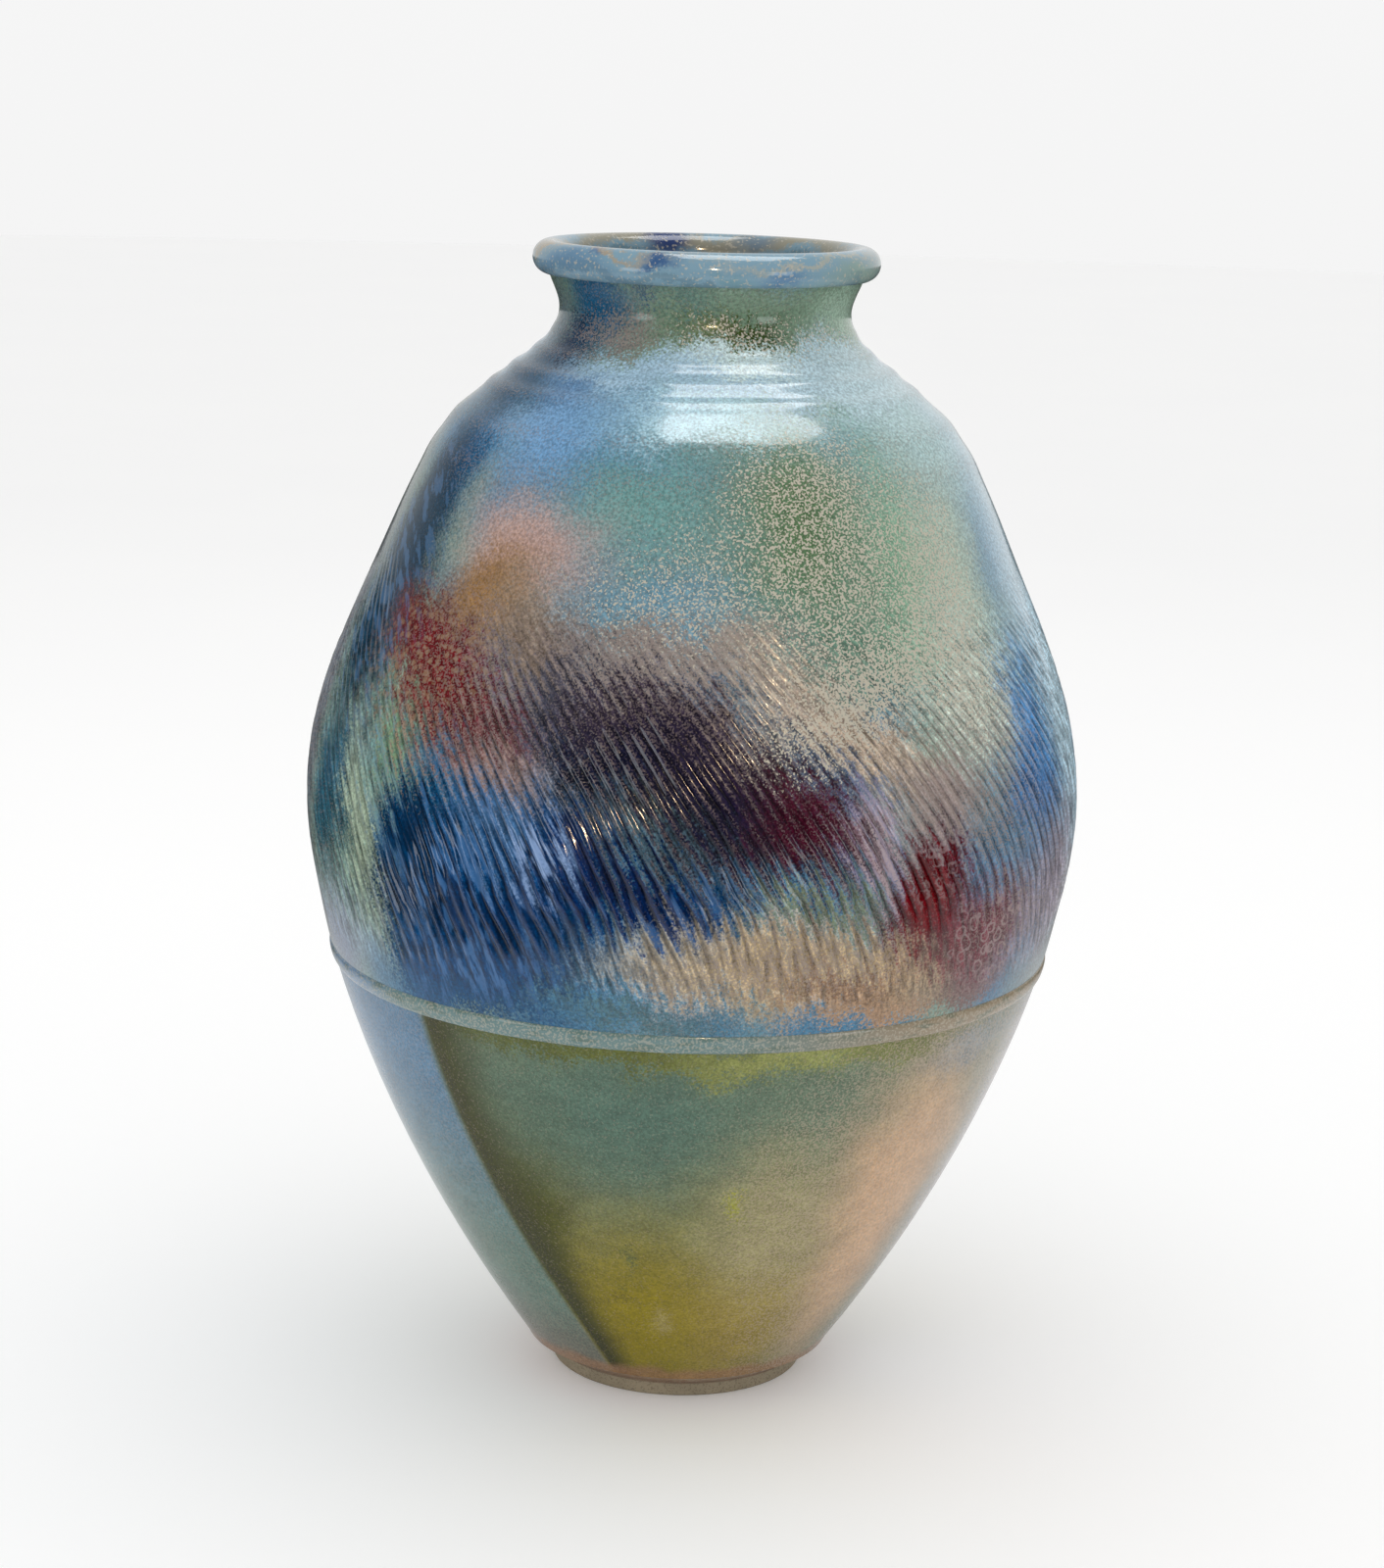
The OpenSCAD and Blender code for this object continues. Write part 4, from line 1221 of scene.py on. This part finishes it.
class VASE_OT_base(bpy.types.Operator):
    """Turn the lower coat, the roll of run glaze, the heel's coat and the foot ring"""

    bl_idname = "vase.base"
    bl_label = "Lower Coats and Foot"

    def execute(self, context):
        outline = Outline()
        lower = coat_section(outline, HEEL_HEIGHT, ROLL_LOW, 2 * MM)
        turn_piece("lower_glaze", lower, BODY_COLUMNS, "Lower_Glaze", fluted=False)

        foot, out = outline.at(ROLL_LOW)
        head, _ = outline.at(ROLL_HIGH)
        middle, half = (foot + head) / 2, (head - foot) / 2
        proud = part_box("glaze_roll")[1].x - outline.at(ROLL_HIGH)[0][0]
        rows = []
        for angle in np.radians(np.arange(0, 181, 12)):
            lift = max(proud, 1.2 * MM) * math.sin(angle)
            rows.append((middle - math.cos(angle) * half + lift * out, out, math.sin(angle)))
        rows += [(head - COAT * out, out, 0.0), (foot - COAT * out, out, 0.0)]
        sag = context.scene.vase_surface.roll_sag
        turn_piece("glaze_roll", rows, BODY_COLUMNS, "Roll_Glaze", sag=sag, fluted=False)

        heel, _ = outline.at(HEEL_HEIGHT)
        toe = np.array([FOOT_RADIUS, FOOT_HEIGHT])
        bevel = [toe + (heel - toe) * t for t in np.linspace(0, 1, 8)]
        inner, _ = outline.at(HEEL_HEIGHT, COAT)
        rows = plain_rows(bevel, 0.6) + plain_rows([inner])
        turn_piece("heel_glaze", rows, HEEL_COLUMNS, "Heel_Glaze", fluted=False)

        # The foot ring is 12 mm wide, with a worn outer edge below and a shallow dip on top
        low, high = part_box("foot_ring")
        edge = 1.2 * MM
        ring = [(high.x - edge * 2, low.z)]
        for angle in np.radians([30, 60, 90]):
            x = high.x - edge * 1.6 + edge * math.sin(angle)
            ring.append((x, low.z + edge - edge * math.cos(angle)))
        ring += [(high.x, high.z), (high.x - 6 * MM, high.z - 1.75 * MM), (high.x - 12 * MM, high.z)]
        ring += [(high.x - 11 * MM, low.z + edge), (high.x - 10 * MM, low.z)]
        rows = plain_rows(ring)
        turn_piece("foot_ring", rows, FOOT_COLUMNS, "Bare_Clay", slot="stoneware", fluted=False)
        return {"FINISHED"}


class VASE_OT_clay(bpy.types.Operator):
    """Give the frame's clay sections and slip rings their own materials"""

    bl_idname = "vase.clay"
    bl_label = "Clay and Slip"

    def execute(self, context):
        for name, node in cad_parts.items():
            if node.hide_render:
                continue
            material = bpy.data.materials["Joining_Slip" if name.endswith("slip") else "Bare_Clay"]
            for index in range(len(node.data.materials)):
                node.data.materials[index] = material
        return {"FINISHED"}


class VASE_OT_studio(bpy.types.Operator):
    """Set up the table, the lights and the camera"""

    bl_idname = "vase.studio"
    bl_label = "Studio"

    def execute(self, context):
        studio = context.scene.vase_studio
        table()
        above = (0.22, 0.16, 1.75)
        area_light("Overhead", above, (0.22, 0.16, 0.3), (0.9, 0.95), studio.overhead, (1.0, 1.0, 1.0))
        for side, name in ((-1, "Left_Strip"), (1, "Right_Strip")):
            place = (side * 0.95, -0.85, 0.22)
            area_light(name, place, (0.0, 0.0, 0.25), (0.35, 0.45), studio.strips, (0.96, 0.98, 1.0))
        warm = (1.0, 0.72, 0.42)
        area_light("Warm_Lamp", (0.14, -1.5, 0.76), (0.0, 0.0, 0.3), (0.08, 0.08), studio.lamp, warm)
        surroundings(context.scene)
        camera = bpy.data.objects.new("Camera", bpy.data.cameras.new("Camera"))
        context.scene.collection.objects.link(camera)
        camera.data.lens = studio.lens
        camera.data.sensor_width = 36.0
        camera.data.clip_start = 0.01
        tilt = Matrix.Rotation(math.pi / 2 - studio.pitch, 4, "X")
        turn = tilt @ Matrix.Rotation(studio.roll, 4, "Z")
        camera.matrix_world = Matrix.Translation((0.0, -studio.distance, studio.height)) @ turn
        context.scene.camera = camera
        context.scene.view_settings.view_transform = "Standard"
        return {"FINISHED"}


def table():
    """A wide pale table top, not part of the vase"""
    shape = bmesh.new()
    bmesh.ops.create_circle(shape, cap_ends=True, segments=96, radius=8.0)
    mesh = bpy.data.meshes.new("table")
    shape.to_mesh(mesh)
    shape.free()
    top = bpy.data.objects.new("table", mesh)
    bpy.context.scene.collection.objects.link(top)
    material, tree = new_material("Table_Top")
    point = tree.add("ShaderNodeTexCoord").outputs["Object"]
    shade = tree.blend(tree.noise(point, 3.0, 2.0), (0.970, 0.970, 0.970), (0.978, 0.978, 0.976))

    # Reflections in the vase see the table darken where its own light falls off
    far = tree.smooth(tree.vector("LENGTH", point), 0.35, 1.0)
    path = tree.add("ShaderNodeLightPath").outputs
    shade = tree.blend(tree.times(far, path["Is Glossy Ray"]), shade, (0.10, 0.10, 0.10))
    glow = tree.smooth(tree.vector("LENGTH", point), 0.3, 3.0, 0.12, 0.027)
    glow = tree.times(path["Is Camera Ray"], glow)
    shader = tree.add(
        "ShaderNodeBsdfPrincipled",
        {"Base Color": shade, "Roughness": 0.7, "Specular IOR Level": 0.1,
         "Emission Color": (1.0, 1.0, 1.0, 1.0), "Emission Strength": glow},
    )
    tree.add("ShaderNodeOutputMaterial", {"Surface": shader.outputs[0]})
    mesh.materials.append(material)


def area_light(name, place, target, size, power, colour):
    """A softbox that faces a target and shows only in reflections, since the walls give the soft light"""
    data = bpy.data.lights.new(name, "AREA")
    data.shape = "RECTANGLE"
    data.size, data.size_y = size
    data.energy = power
    data.color = colour
    light = bpy.data.objects.new(name, data)
    way = Vector(target) - Vector(place)
    light.matrix_world = Matrix.Translation(place) @ way.to_track_quat("-Z", "Y").to_matrix().to_4x4()
    light.visible_diffuse = False
    bpy.context.scene.collection.objects.link(light)


def surroundings(scene):
    """White studio walls: bright behind the vase, dark behind the camera and even for soft light"""
    world = bpy.data.worlds.new("Studio")
    world.use_nodes = True
    world.node_tree.nodes.clear()
    tree = Tree(world.node_tree)
    generated = tree.add("ShaderNodeTexCoord").outputs["Generated"]
    way = tree.add("ShaderNodeSeparateXYZ", {0: generated}).outputs
    reflected = tree.smooth(way[1], 0.25, 0.98, 0.09, 0.90)
    reflected = tree.times(reflected, tree.smooth(way[0], -0.5, 0.3, 0.7, 1.0))
    path = tree.add("ShaderNodeLightPath").outputs
    soft = tree.math("MULTIPLY_ADD", tree.times(way[2], way[2]), 0.62, 0.66)
    level = tree.add("ShaderNodeMix", {0: path["Is Diffuse Ray"], 2: reflected, 3: soft}).outputs[0]
    backdrop = tree.smooth(way[2], -0.1, 0.25, 0.91, 0.95)
    level = tree.add("ShaderNodeMix", {0: path["Is Camera Ray"], 2: level, 3: backdrop}).outputs[0]
    light = tree.add("ShaderNodeBackground", {"Color": (1.0, 1.0, 1.0, 1.0), "Strength": level})
    tree.add("ShaderNodeOutputWorld", {"Surface": light.outputs[0]})
    world.cycles.sampling_method = "NONE"
    scene.world = world


class VASE_PT_panel(bpy.types.Panel):
    """The vase's settings and operators"""

    bl_label = "Fluted Vase"
    bl_space_type = "VIEW_3D"
    bl_region_type = "UI"
    bl_category = "Vase"

    def draw(self, context):
        scene = context.scene
        for settings in (scene.vase_flutes, scene.vase_surface, scene.vase_colours, scene.vase_studio):
            box = self.layout.box()
            for name in settings.__annotations__:
                box.prop(settings, name)
        for operator in OPERATORS:
            self.layout.operator(operator.bl_idname)


SETTINGS = {
    "vase_flutes": VaseFlutes,
    "vase_surface": VaseSurface,
    "vase_colours": VaseColours,
    "vase_studio": VaseStudio,
}
OPERATORS = (
    VASE_OT_trees, VASE_OT_belly, VASE_OT_shoulder, VASE_OT_lip, VASE_OT_base, VASE_OT_clay, VASE_OT_studio,
)


def register():
    for cls in (*SETTINGS.values(), *OPERATORS, VASE_PT_panel):
        bpy.utils.register_class(cls)
    for name, cls in SETTINGS.items():
        setattr(bpy.types.Scene, name, bpy.props.PointerProperty(type=cls))


def unregister():
    for name in SETTINGS:
        delattr(bpy.types.Scene, name)
    for cls in reversed((*SETTINGS.values(), *OPERATORS, VASE_PT_panel)):
        bpy.utils.unregister_class(cls)


def main():
    register()
    bpy.ops.vase.trees()
    bpy.ops.vase.belly()
    bpy.ops.vase.shoulder()
    bpy.ops.vase.lip()
    bpy.ops.vase.base()
    bpy.ops.vase.clay()
    bpy.ops.vase.studio()


if __name__ == "__main__":
    main()
